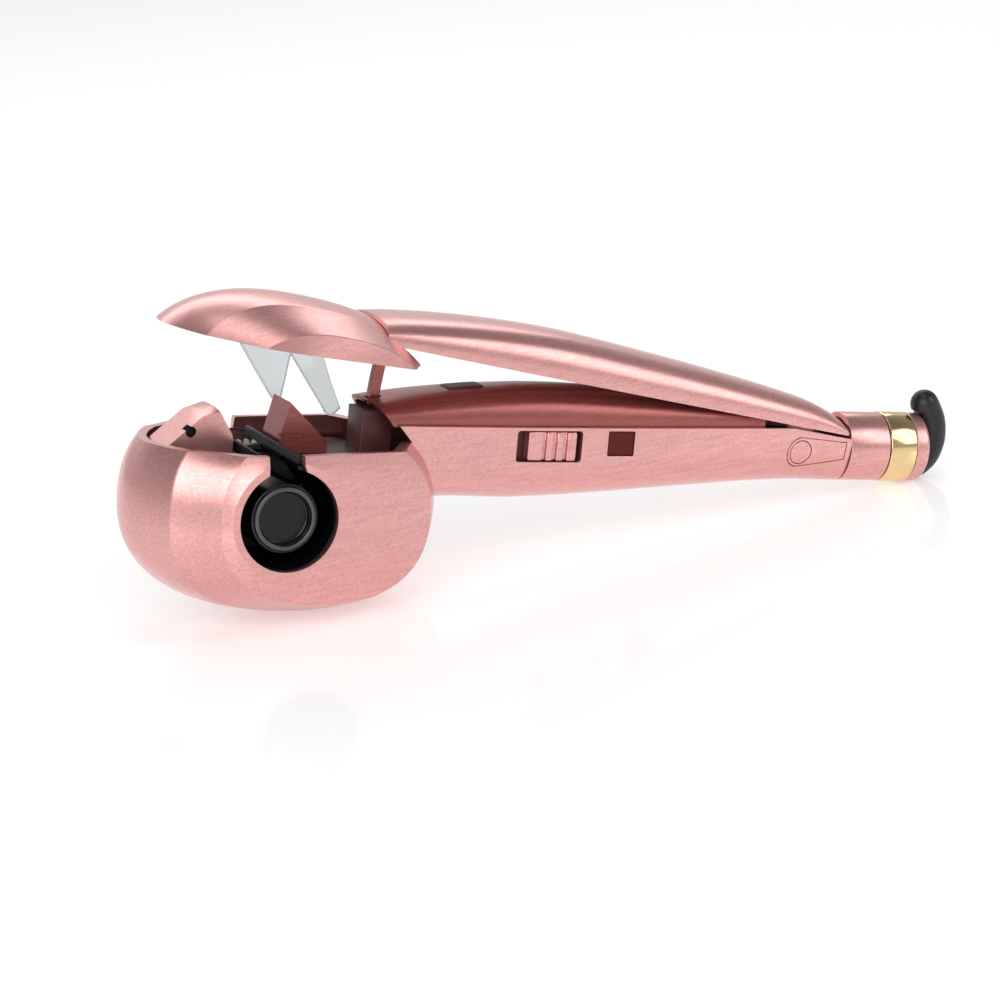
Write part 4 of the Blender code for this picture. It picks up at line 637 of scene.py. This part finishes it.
# %% Cut the openings and settle the shell
SWITCH_X, SWITCH_Z = (88.0, 113.0), (17.6, 28.6)
LENS_X, LENS_Z = (123.0, 133.4), (19.8, 28.6)
SLOT_FRONT, SLOT_BACK, FLARE_BACK = -8.45, 3.9, 9.9
FLARE_LOW, FLARE_MIDDLE, FLARE_TOP = 12.4, 13.9, 20.4
NEAR_SIDE = (-50, -20)
side_y = -along(HALF_WIDTH, SWITCH_X[0])

cut(shell, rod("mouth", MOUTH_RADIUS, "y", *NEAR_SIDE, sides=128))
flare = [(FLARE_BACK - (FLARE_BACK - SLOT_BACK) * sin(radians(a)),
          FLARE_TOP - (FLARE_TOP - FLARE_MIDDLE) * cos(radians(a))) for a in (15, 35, 55, 75)]
slot = [(SLOT_FRONT, FLARE_LOW), (FLARE_BACK, FLARE_LOW), (FLARE_BACK, FLARE_MIDDLE), *flare,
        (SLOT_BACK, FLARE_TOP), (SLOT_BACK, 40), (SLOT_FRONT, 40)]
cut(shell, prism("slot", slot, "y", *NEAR_SIDE))
cut(shell, bar("far_slot", (SLOT_FRONT, SLOT_BACK), (20, 50), (17.5, 40)))
cut(shell, prism("switch", rounded(SWITCH_X, SWITCH_Z, 1.2), "y", side_y - 1, side_y + 6))
cut(shell, prism("window", rounded(LENS_X, LENS_Z, 0.6), "y", side_y - 1, side_y + 6))
for side in (-1, 1):
    low, high = sorted((side * 7, side * 20))
    pocket = prism("pocket", tongue(0.3), "y", low, high)
    cut(pocket, handle_bar(1.3, SEAM_Z + 8, 160, 221, 24))
    cut(shell, pocket)
    cut(shell, rod("pin_room", 4.5, "y", low, high, (PIVOT_X, PIVOT_Z)))
room = 5.8 + (SEAM_Z - PIVOT_Z) * drop
cut(shell, bar("lug_room", (PIVOT_X - room, PIVOT_X + room), (-9.7, 9.7), (PIVOT_Z + 2, 33.3)))
under_ground = bar("under_ground", (-150, 350), (-80, 80), (-200, 0))
under_ground.data.transform(Matrix.Scale(1 / MM, 4) @ device.inverted() @ Matrix.Scale(MM, 4))
cut(shell, under_ground)
shell.name = "smooth_lower_shell"
settle(shell, rose, "body", "lower_shell", edge=0.3, angle=38, crease=9, slot="rose_shell")
print("lower shell:", len(shell.data.polygons), "faces")

# %% [markdown]
# ## The cap
# The cap closes over the hair. It is the ball's upper part, cut a little steeper than the bowl's rim
# so that the jaws leave a thin wedge of a gap. It could be drawn on its own, but then its facets
# wouldn't run on into the bowl's. A notch at its back lets the arm's front end in under its edge.

# %% Build the cap
CAP_FAR = 120
cap = cut(head_ball(), inner_ball(WALL))
rim = [(x, RIM_Z + CAP_RISE + CAP_SLOPE * x) for x in (-CAP_FAR, CAP_FAR)]
cut(cap, prism("below", rim + [(CAP_FAR, -CAP_FAR), (-CAP_FAR, -CAP_FAR)], "y", -CAP_FAR, CAP_FAR))
notch = [(x, along(HALF_WIDTH, x) + 0.3) for x in (ARM_START - 0.3, 60, 90)]
cut(cap, prism("notch", notch + [(x, -y) for x, y in reversed(notch)], "z", 0, 60))
cap.name = "smooth_head_cap"
settle(cap, rose, "arm", "head_cap", place=on_arm, edge=0.3, angle=38, crease=9, slot="rose_shell")
print("cap:", len(cap.data.polygons), "faces")

# %% [markdown]
# ## The arched section of the arm and the cover
# Arm and cover share one arched section, so that the shut arm closes neatly over the cover. A half
# circle would look thin at its shoulders. The arch is a superellipse, fuller than a circle, with its
# feet on the seam line, and one loft with an inset serves for the outside and the hollow of both.

# %% The arch
ARCH_SQUARENESS = 2.7


def arch(inset_side, inset_top, low, start_x, end_x, count=56, steps=18, hold=None):
    """An arched bar from start_x to end_x. Behind hold, its crown stays level."""
    rings = []
    foot = max(SEAM_Z, low + 0.4)
    for k in range(count + 1):
        x = blend(start_x, end_x, k / count)
        half = along(HALF_WIDTH, x) - inset_side
        crown = along(ARM_CROWN, min(x, hold) if hold else x) - inset_top
        section = [(half, low)]
        for step in range(2 * steps + 1):
            a = pi * step / (2 * steps)
            section.append((half * power(cos(a), 2 / ARCH_SQUARENESS),
                            foot + (crown - foot) * abs(sin(a)) ** (2 / ARCH_SQUARENESS)))
        rings.append([(x, y, z) for y, z in section + [(-half, low)]])
    return loft("arch", rings)


print("arch over the switch in mm:", round(along(ARM_CROWN, 100) - SEAM_Z, 1), "high")

# %% [markdown]
# ## The arm
# The arm is a long moulded arch that carries the cap. Two lugs inside its rear end hang down to the
# hinge pin, and two holes at the front take the cap's screws. The lugs could be separate pieces,
# but they are moulded with the arm, so they are joined to it before the pin's holes are cut.

# %% Build the arm
ARM_LOW, ARM_WALL, ARM_GAP = SEAM_Z + 0.3, 2.0, 0.2
LUG_RADIUS, EYE_RADIUS, SCREW_RADIUS = 5.2, 2.3, 1.7
arm = arch(ARM_GAP, 0.0, ARM_LOW, ARM_START, ARM_END, 80)
cut(arm, arch(ARM_GAP + ARM_WALL, ARM_WALL, ARM_LOW - 8, ARM_START + 1.8, ARM_END - ARM_WALL, 40, 10))
for side in (-1, 1):
    root_y = sorted((side * 7.77, side * 13))
    join(arm, bar("root", (PIVOT_X - 6.1, PIVOT_X + 5.7), root_y, (ARM_LOW + 0.3, 34.3)))
    lug = [(PIVOT_X - LUG_RADIUS, ARM_LOW + 2), *arc((PIVOT_X, PIVOT_Z), LUG_RADIUS, 180, 360, 24),
           (PIVOT_X + LUG_RADIUS, ARM_LOW + 2)]
    join(arm, prism("lug", lug, "y", *sorted((side * 7.6, side * 9.2))))
    cut(arm, rod("eye", EYE_RADIUS, "y", *sorted((side * 6.6, side * 10.2)), (PIVOT_X, PIVOT_Z)))
for y in (-9, 9):
    cut(arm, rod("screw_hole", SCREW_RADIUS, "x", 25, 40, (y, 31.7), 24))
arm.name = "smooth_arm"
settle(arm, rose, "arm", "arm_shell", place=on_arm, edge=0.3, angle=38, slot="rose_shell")
print("arm:", len(arm.data.polygons), "faces")

# %% [markdown]
# ## The top cover
# The dark cover closes the handle under the arm. It is the same arch, three millimetres smaller all
# round, with a front cut on a slant behind the jaws. Its two holes let the rod and the bumper
# through. It is lacquered in the deeper tone, which sets the arm off against it.

# %% Build the top cover
COVER_INSET, COVER_WALL, COVER_LOW, COVER_END = 3.0, 2.0, 28.8, 187.0
COVER_FRONT = 36.8
cover_hollow = COVER_INSET + COVER_WALL
cover = arch(COVER_INSET, COVER_INSET, COVER_LOW, 30, COVER_END, 64, hold=PIVOT_X)
cut(cover, arch(cover_hollow, cover_hollow, COVER_LOW - 5, 25, COVER_END + 5, 30, 10, hold=PIVOT_X))
slant = [(COVER_FRONT - 7.5, 47.0), (COVER_FRONT + 18.75, 12.0), (0, 12.0), (0, 47.0)]
cut(cover, prism("front", slant, "y", -40, 40))
rod_x = PIVOT_X - ((PIVOT_X - 40.3) ** 2 - (37 - PIVOT_Z) ** 2) ** 0.5
cut(cover, bar("rod_hole", (rod_x - 2.6, rod_x + 2.6), (-2.6, 2.6), (30, 50)))
cut(cover, bar("bump_hole", (67.2, 80.8), (-4.3, 4.3), (30, 60)))
cover.name = "smooth_top_cover"
settle(cover, rose_shade, "body", "top_cover", edge=0.25, angle=38, slot="dark_moulding")
print("top cover:", len(cover.data.polygons), "faces")

# %% [markdown]
# ## Tail
# The tail is turned: a lacquered sleeve, a gold ring that stands a little proud, and a rounded end
# ring. A bevel would give every corner the same radius, so each lathe profile has its own small
# corner radii instead, because the light draws a bright line in every one of them.

# %% Turned tail rings
TAIL_RADIUS, TAIL_INNER, BAND_PROUD, CORD_RADIUS = 12.3, 10.5, 0.25, 6.7
tail_axis = (0, PIVOT_Z)


def ring_profile(low, high, outer, inner, corner_low, corner_high, count=5):
    """A ring's profile with rounded outer corners."""
    corners = (arc((low + corner_low, outer - corner_low), corner_low, 180, 90, count)
               + arc((high - corner_high, outer - corner_high), corner_high, 90, 0, count))
    return [(inner, low), *[(radius, height) for height, radius in corners], (inner, high)]


TAIL_RINGS = {
    "tail_sleeve": (ring_profile(222.7, 238.6, TAIL_RADIUS, TAIL_INNER, 0.2, 0.35), rose, "rose_shell"),
    "gold_band": (ring_profile(238.9, 249.4, TAIL_RADIUS + BAND_PROUD, TAIL_INNER, 0.4, 0.4), gold, "gold"),
    "end_ring": (ring_profile(249.7, 255.0, TAIL_RADIUS, CORD_RADIUS, 0.3, 1.4, 8), rose, "rose_shell"),
}
for node, (profile, finish, slot_name) in TAIL_RINGS.items():
    ring = lathe("smooth_" + node, profile, "x", tail_axis)
    settle(ring, finish, "body", node, edge=0, slot=slot_name)
    print(node, "is", round(profile[-1][1] - profile[0][1], 1), "mm long")

# %% [markdown]
# ## Sweeping a tube
# A bent tube could be a curve object with a bevel depth, but then it couldn't be cut or joined.
# Here rings are carried along the path, each turned as little as possible from the one before, so
# that the skin doesn't twist. The path itself is a smooth curve through a few points.

# %% Sweeps and smooth routes
def sweep(name, path, radii, sides=32):
    """A tube along a path, with its own radius at each point."""
    rings, side = [], Vector((0, 1, 0))
    for i, point in enumerate(path):
        ahead = (path[min(i + 1, len(path) - 1)] - path[max(i - 1, 0)]).normalized()
        side = (side - ahead * side.dot(ahead)).normalized()
        other = ahead.cross(side)
        angles = [2 * pi * k / sides for k in range(sides)]
        rings.append([point + (side * cos(a) + other * sin(a)) * radii[i] for a in angles])
    return loft(name, rings)


def smooth_route(points, count):
    """A smooth path through (x, z) points, as Catmull-Rom spans."""
    ends = [points[0], *points, points[-1]]
    path = []
    for i in range(1, len(ends) - 2):
        for k in range(count):
            t = k / count
            mixed = []
            for axis in (0, 1):
                a, b, c, d = (ends[i + j][axis] for j in (-1, 0, 1, 2))
                mixed.append(0.5 * (2 * b + (c - a) * t + (2 * a - 5 * b + 4 * c - d) * t**2
                                    + (3 * b - a - 3 * c + d) * t**3))
            path.append(Vector((mixed[0], 0, mixed[1])))
    path.append(Vector((points[-1][0], 0, points[-1][1])))
    return path


route = smooth_route([(256.6, 15.2), (259.4, 18.0), (261.0, 22.0), (261.4, 26.0),
                      (260.6, 30.4), (258.6, 34.4), (257.2, 36.6)], 6)
print("steps along the elbow's route:", len(route) - 1)

# %% [markdown]
# ## The bent strain relief
# A black rubber elbow guards the cord where it leaves the tail, and swivels in it. Both of its ends
# are domed, so the radii follow a quarter circle there. Its round stub goes into the tail, and a
# collar is cut round the stub where the end ring sits.

# %% Build the elbow
RELIEF = 5.2
dome = [(RELIEF * sin(radians(a)), RELIEF * cos(radians(a))) for a in (15, 30, 45, 60, 72, 82, 88)]
first = (route[0] - route[1]).normalized()
last = (route[-1] - route[-2]).normalized()
low_end = [route[0] + first * out for out, _ in reversed(dome)]
high_end = [route[-1] + last * out for out, _ in dome]
elbow_radii = [r for _, r in reversed(dome)] + [RELIEF] * len(route) + [r for _, r in dome]
elbow = sweep("smooth_strain_relief", low_end + route + high_end, elbow_radii)
join(elbow, rod("stub", 6.4, "x", 241, 258, tail_axis, 64))
cut(elbow, lathe("collar", [(6.4, 235), (13.4, 235), (13.4, 255.3), (6.4, 255.3)], "x", tail_axis, 64))
cut(elbow, rod("bore", 3.2, "x", 235, 252, tail_axis, 32))
settle(elbow, rubber, "swivel", "strain_relief", edge=0.3, angle=40, slot="rubber")
print("strain relief:", len(elbow.data.polygons), "faces")

# %% [markdown]
# ## The chamber
# The hair is wound round a hollow black barrel inside a round chamber. The barrel's end has a bright
# rim and a shallow recess. All of it is turned work. A plain cylinder would show a black disc, so
# each piece is a lathe profile with broken edges, fine enough to stay round close up.

# %% Barrel, rim and liner
BARREL, BARREL_FRONT, RIM_SIDES = 12.0, -31.5, 128
LINER, LINER_OUTER, LINER_BACK, LINER_FRONT = 17.3, 18.7, 2.4, -33.2
barrel = lathe("smooth_barrel", [
    (0, BARREL_FRONT + 2.4), (BARREL - 3.6, BARREL_FRONT + 2.4), (BARREL - 3.1, BARREL_FRONT + 2.0),
    (BARREL - 3.0, BARREL_FRONT + 0.2), (BARREL - 2.8, BARREL_FRONT), (BARREL - 0.6, BARREL_FRONT),
    (BARREL - 0.18, BARREL_FRONT + 0.18), (BARREL, BARREL_FRONT + 0.6), (BARREL, -0.6), (8.4, -0.6),
    (8.4, 13.3), (7.0, 13.3), (7.0, -2.0), (10.4, -2.0), (10.4, BARREL_FRONT + 4.0),
    (0, BARREL_FRONT + 4.0)], "y")
settle(barrel, glaze, "body", "heater_barrel", edge=0, slot="ceramic")
rim_ring = lathe("smooth_barrel_rim", [
    (BARREL - 0.9, BARREL_FRONT - 0.3), (BARREL - 1.2, BARREL_FRONT - 0.8),
    (BARREL - 1.6, BARREL_FRONT - 1.0), (BARREL - 2.1, BARREL_FRONT - 1.0),
    (BARREL - 2.5, BARREL_FRONT - 0.8), (BARREL - 2.7, BARREL_FRONT - 0.3)], "y", sides=RIM_SIDES)
settle(rim_ring, silver, "body", "barrel_end_ring", edge=0, slot="silver")
liner = lathe("smooth_chamber", [
    (LINER_OUTER, LINER_FRONT), (LINER_OUTER, LINER_BACK + 1.4), (15.0, LINER_BACK + 1.4),
    (15.0, LINER_BACK), (LINER, LINER_BACK), (LINER, LINER_FRONT + 0.3), (LINER + 0.2, LINER_FRONT)],
    "y", sides=RIM_SIDES)
cut(liner, bar("way_in", (-8.4, 2.6), (-50, 0.8), (5, 40)))
settle(liner, glaze, "body", "chamber_liner", edge=0.15, angle=40, slot="ceramic")
print("chamber:", len(liner.data.polygons), "faces")

# %% [markdown]
# ## The slide switch
# The slider is a small lacquered block with a row of grip ribs and dark grooves between them. The
# ribs could be a bump pattern, but seen from the side a groove shows its depth, so each one is a
# real cut. A stem at the back reaches in to the switch.

# %% Build the slider
KNOB_X, KNOB_LENGTH, KNOB_Z = 92.6, 18.2, (18.1, 28.1)
GROOVES, GROOVE_WIDTH, GROOVE_DEPTH = 3, 1.5, 1.3
middle = KNOB_X + KNOB_LENGTH / 2
face = -(along(HALF_WIDTH, middle) - 0.2)
back = -(along(HALF_WIDTH, SWITCH_X[1]) - 4.6) - 0.3
knob_outline = rounded((KNOB_X, KNOB_X + KNOB_LENGTH), KNOB_Z, 0.7, 3)
knob = prism("smooth_slider", knob_outline, "y", face, back)
for k in range(GROOVES):
    x = blend(KNOB_X, KNOB_X + KNOB_LENGTH, (k + 1.35) / 4.6)
    cut(knob, bar("groove", (x, x + GROOVE_WIDTH), (face - 1, face + GROOVE_DEPTH), (15, 32)))
join(knob, bar("stem", (middle - 1.4, middle + 1.4), (back - 0.5, back + 4.2), (22.0, 24.2)))
settle(knob, rose, "switch_knob", "slide_knob", edge=0.3, slot="rose_shell")
print("slider:", len(knob.data.polygons), "faces")

# %% [markdown]
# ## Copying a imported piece
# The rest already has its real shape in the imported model: prisms, plates, gears and screws. They
# could be drawn again, but a copy is sure to fit. The copy's flat faces are merged out of the
# packed triangles first, because a bevel needs whole edges, and then its cut edges are broken.

# %% Copy, bevel and finish a piece
bodies = frame["record"]["behaviour"]["bodies"]
subparts = frame["record"]["subparts"]


def refined(node, finish, edge, angle=30):
    """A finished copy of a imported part, with its sharp edges broken."""
    source = frame["nodes"][node]
    bm = bmesh.new()
    bm.from_mesh(source.data)
    bm.transform(source.matrix_world)
    bmesh.ops.remove_doubles(bm, verts=bm.verts, dist=0.01 * MM)
    bmesh.ops.dissolve_limit(bm, angle_limit=radians(1), verts=bm.verts, edges=bm.edges)
    bm.transform(device.inverted())
    bm.transform(Matrix.Scale(1 / MM, 4))
    body = next(name for name, nodes in bodies.items() if node in nodes)
    slot_name = next(part["material_slot"] for part in subparts if part["node"] == node)
    return settle(solid("fine_" + node, bm), finish, body, node, edge=edge, angle=angle, slot=slot_name)


print("packed parts that can be copied:", len(subparts))

# %% [markdown]
# ## Finishes of the copied pieces
# Each piece gets the finish of its material and a bevel in millimetres: 0.5 or more on the wedges,
# the fork and the bumper, and 0.1 to 0.3 on most of the others. Tooth flanks and the coils of springs have
# no bevel, since it would eat into them. The pieces inside are finished too.

# %% The list of finishes
FINISHES = {
    "front_wedge": (rose, 0.5), "rear_wedge": (rose_shade, 0.5), "jaw_deck": (maroon, 0.2),
    "cap_liner": (maroon, 0.2), "throat_lip_front": (nylon, 0.2), "throat_lip_rear": (nylon, 0.2),
    "guide_fork": (clear, 0.9), "actuator_rod": (rose_shade, 0.3), "closing_bumper": (soft_maroon, 0.5),
    "rotor": (nylon, 0.2), "switch_plate": (maroon, 0.15), "indicator_lens": (smoked, 0.2),
    "hinge_cover_near": (rose, 0.15), "hinge_cover_far": (rose, 0.15), "pin_cap_near": (rose, 0.2),
    "pin_cap_far": (rose, 0.2), "cap_bracket": (steel, 0.2), "cap_screw_1": (steel, 0.1),
    "cap_screw_2": (steel, 0.1), "drive_chassis": (steel, 0.1), "drive_motor": (steel, 0.2),
    "hinge_block": (nylon, 0.2), "hinge_pin": (steel, 0.2), "tail_core": (nylon, 0),
    "swivel_socket": (nylon, 0), "switch_bracket": (steel, 0.1), "microswitch": (nylon, 0.1),
    "slide_switch": (nylon, 0.2), "control_board": (board_green, 0), "heater_core": (acetal, 0.2),
    "thermal_fuse": (steel, 0.2), "idler_axle": (steel, 0.1), "start_plunger": (acetal, 0.1),
    "rotor_gear": (acetal, 0), "idler_gear": (acetal, 0), "motor_pinion": (brass, 0),
    "plunger_spring": (steel, 0), "return_spring": (steel, 0), "chassis_screw_1": (steel, 0.1),
    "chassis_screw_2": (steel, 0.1), "chassis_screw_3": (steel, 0.1),
}
for node, (finish, edge) in FINISHES.items():
    refined(node, finish, edge)
left = [name for name, part in frame["nodes"].items() if not part.hide_render]
print("packed parts still showing:", left or "none")

# %% [markdown]
# ## The wedge's socket, painted dark as shade
# The front wedge is lacquered all over. The small round socket in it is a hole that falls into
# shade, and that shade is painted: a separate plug could fill it, but instead the faces inside the
# socket get a second, black material, picked by their distance from its axis.

# %% Paint the shade into the socket
SOCKET_X, SOCKET_Z, SOCKET_RADIUS, SOCKET_FRONT = -27.3, 24.7, 2.0, -8.9
wedge = bpy.data.objects["fine_front_wedge"].data
# The black nylon on the socket's inner faces is painted shade for the hole, not the wedge's own colour.
wedge.materials.append(nylon)
socket_axis = device @ Vector((SOCKET_X * MM, 0, SOCKET_Z * MM))
for polygon in wedge.polygons:
    offset = Vector((polygon.center.x - socket_axis.x, polygon.center.z - socket_axis.z))
    inside = offset.length < SOCKET_RADIUS * MM and polygon.center.y > SOCKET_FRONT * MM
    polygon.material_index = 1 if inside else 0
print("dark faces in the socket:", sum(p.material_index for p in wedge.polygons))

# %% [markdown]
# ## The ground
# The tool lies on a white, glossy laminate that curves up far behind, as in a product studio. A
# plane that simply ended would show its edge, and a curve hides it. The sheet glows a little, so
# that it stays an even white round the tool and still mirrors it faintly. It lies level with the
# end ring's lowest edge, which the tail rests on.

# %% The ground
GROUND_LEVEL = -0.0006
FLOOR_HALF_WIDTH, FLOOR_FRONT, FLOOR_BACK, FLOOR_RISE, BEND_STEPS = 8.0, -6.0, 6.0, 1.5, 12
bend = arc((FLOOR_BACK, FLOOR_RISE), FLOOR_RISE, -90, 0, BEND_STEPS)
profile = [(FLOOR_FRONT, 0.0), *bend, (FLOOR_BACK + FLOOR_RISE, FLOOR_RISE * 4)]
sheet = bmesh.new()
rows = [[sheet.verts.new((x, y, z)) for x in (-FLOOR_HALF_WIDTH, FLOOR_HALF_WIDTH)] for y, z in profile]
for a, b in zip(rows, rows[1:]):
    sheet.faces.new((a[0], a[1], b[1], b[0]))
ground = solid("ground", sheet)
GLOW = {"Emission_Color": linear("#ffffff"), "Emission_Strength": 0.37}
laminate, laminate_tree, laminate_shader = start("white_gloss_laminate", "#f2f2f2", 0.10, **GLOW)
ripple = add(laminate_tree, "ShaderNodeBump", {
    "Height": grain(laminate_tree, 6.0), "Distance": 0.01 * MM, "Strength": 0.2})
laminate_tree.links.new(ripple.outputs["Normal"], laminate_shader.inputs["Normal"])
ground.data.materials.append(laminate)
ground.data.shade_smooth()
ground.location.z = GROUND_LEVEL
ground.visible_diffuse = False
print("ground in metres:", 2 * FLOOR_HALF_WIDTH, "wide,", FLOOR_BACK - FLOOR_FRONT, "deep")

# %% [markdown]
# ## The lights
# A metallic lacquer shows mostly what it mirrors, so its shape comes from the size of the lamps
# more than from their strength. Point lamps would leave small hot spots. Four large softboxes give
# broad, soft-edged sheens instead: a big one in front on the left lifts the faces that look
# forward, and three dimmer ones draw the right side, the back and the tops.

# %% The softboxes
def softbox(name, place, aim, size, watts):
    lamp = bpy.data.lights.new(name, "AREA")
    lamp.shape = "RECTANGLE"
    lamp.size, lamp.size_y = size
    lamp.energy = watts
    made = bpy.data.objects.new(name, lamp)
    made.location = place
    made.rotation_euler = (Vector(aim) - Vector(place)).to_track_quat("-Z", "Y").to_euler()
    bpy.context.scene.collection.objects.link(made)


MIDDLE_OF_TOOL = (0.09, 0.0, 0.05)
softbox("front_softbox", (-0.75, -1.35, 0.85), MIDDLE_OF_TOOL, (1.7, 1.2), 18)
softbox("right_softbox", (1.2, -0.9, 0.75), MIDDLE_OF_TOOL, (0.8, 1.0), 6)
softbox("back_softbox", (0.3, 1.1, 0.9), MIDDLE_OF_TOOL, (1.6, 0.4), 4)
softbox("top_softbox", (0.1, 0.0, 1.6), MIDDLE_OF_TOOL, (1.6, 0.5), 4)

# %% [markdown]
# ## The pale studio
# Between the softboxes the lacquer mirrors the room. An even grey room would flatten it, so the
# world's glow depends on where one looks: strongest level with the tool, a little stronger behind
# it, and falling off to about a third high above and far below. That leaves a soft gradient in each
# curved face.

# %% The room's glow
ROOM_GLOW = {
    "Y": [(-0.5, 0.6, 0.5, 0.62)],
    "Z": [(0.05, 0.8, 1.0, 0.35), (-0.6, 0.0, 0.35, 1.0)],
}
world = bpy.data.worlds.new("pale_studio")
world.use_nodes = True
sky = world.node_tree
where = add(sky, "ShaderNodeTexCoord")
heading = add(sky, "ShaderNodeSeparateXYZ", {"Vector": where.outputs["Generated"]})
falls = [add(sky, "ShaderNodeMapRange", {
    "Value": heading.outputs[way], "From Min": near, "From Max": far, "To Min": low, "To Max": high})
    for way, ranges in ROOM_GLOW.items() for near, far, low, high in ranges]
glow = falls[0].outputs["Result"]
for fall in falls[1:]:
    glow = add(sky, "ShaderNodeMath", {0: glow, 1: fall.outputs["Result"]}, operation="MULTIPLY").outputs[0]
background = sky.nodes["Background"]
background.inputs["Color"].default_value = linear("#ffffff")
sky.links.new(glow, background.inputs["Strength"])
bpy.context.scene.world = world
bpy.context.scene.view_settings.view_transform = "Standard"
print("the room's glow has", len(falls), "slopes")

# %% [markdown]
# ## Camera
# The camera stands a little to the left of the head and above it. A short lens close by would swell
# the head, so the lens is long and stands far off, which keeps the handle's taper true. A slight
# roll brings the leaning handle level.

# %% The camera
AIM = Vector((0.0684, -0.0022, 0.0225))
AZIMUTH, ELEVATION, ROLL = radians(22.11), radians(15.34), radians(-5.09)
DISTANCE, LENS_MM, SENSOR_MM = 1.568, 162.0, 36.0
forward = Vector((sin(AZIMUTH) * cos(ELEVATION), cos(AZIMUTH) * cos(ELEVATION), -sin(ELEVATION)))
camera_data = bpy.data.cameras.new("camera")
camera_data.lens = LENS_MM
camera_data.sensor_width = SENSOR_MM
camera_data.clip_start = 0.05
camera = bpy.data.objects.new("camera", camera_data)
bpy.context.scene.collection.objects.link(camera)
level = forward.to_track_quat("-Z", "Y").to_matrix().to_4x4()
camera.matrix_world = Matrix.Translation(AIM - forward * DISTANCE) @ level @ Matrix.Rotation(ROLL, 4, "Z")
bpy.context.scene.camera = camera
print("camera stands at", [round(v, 3) for v in camera.location])
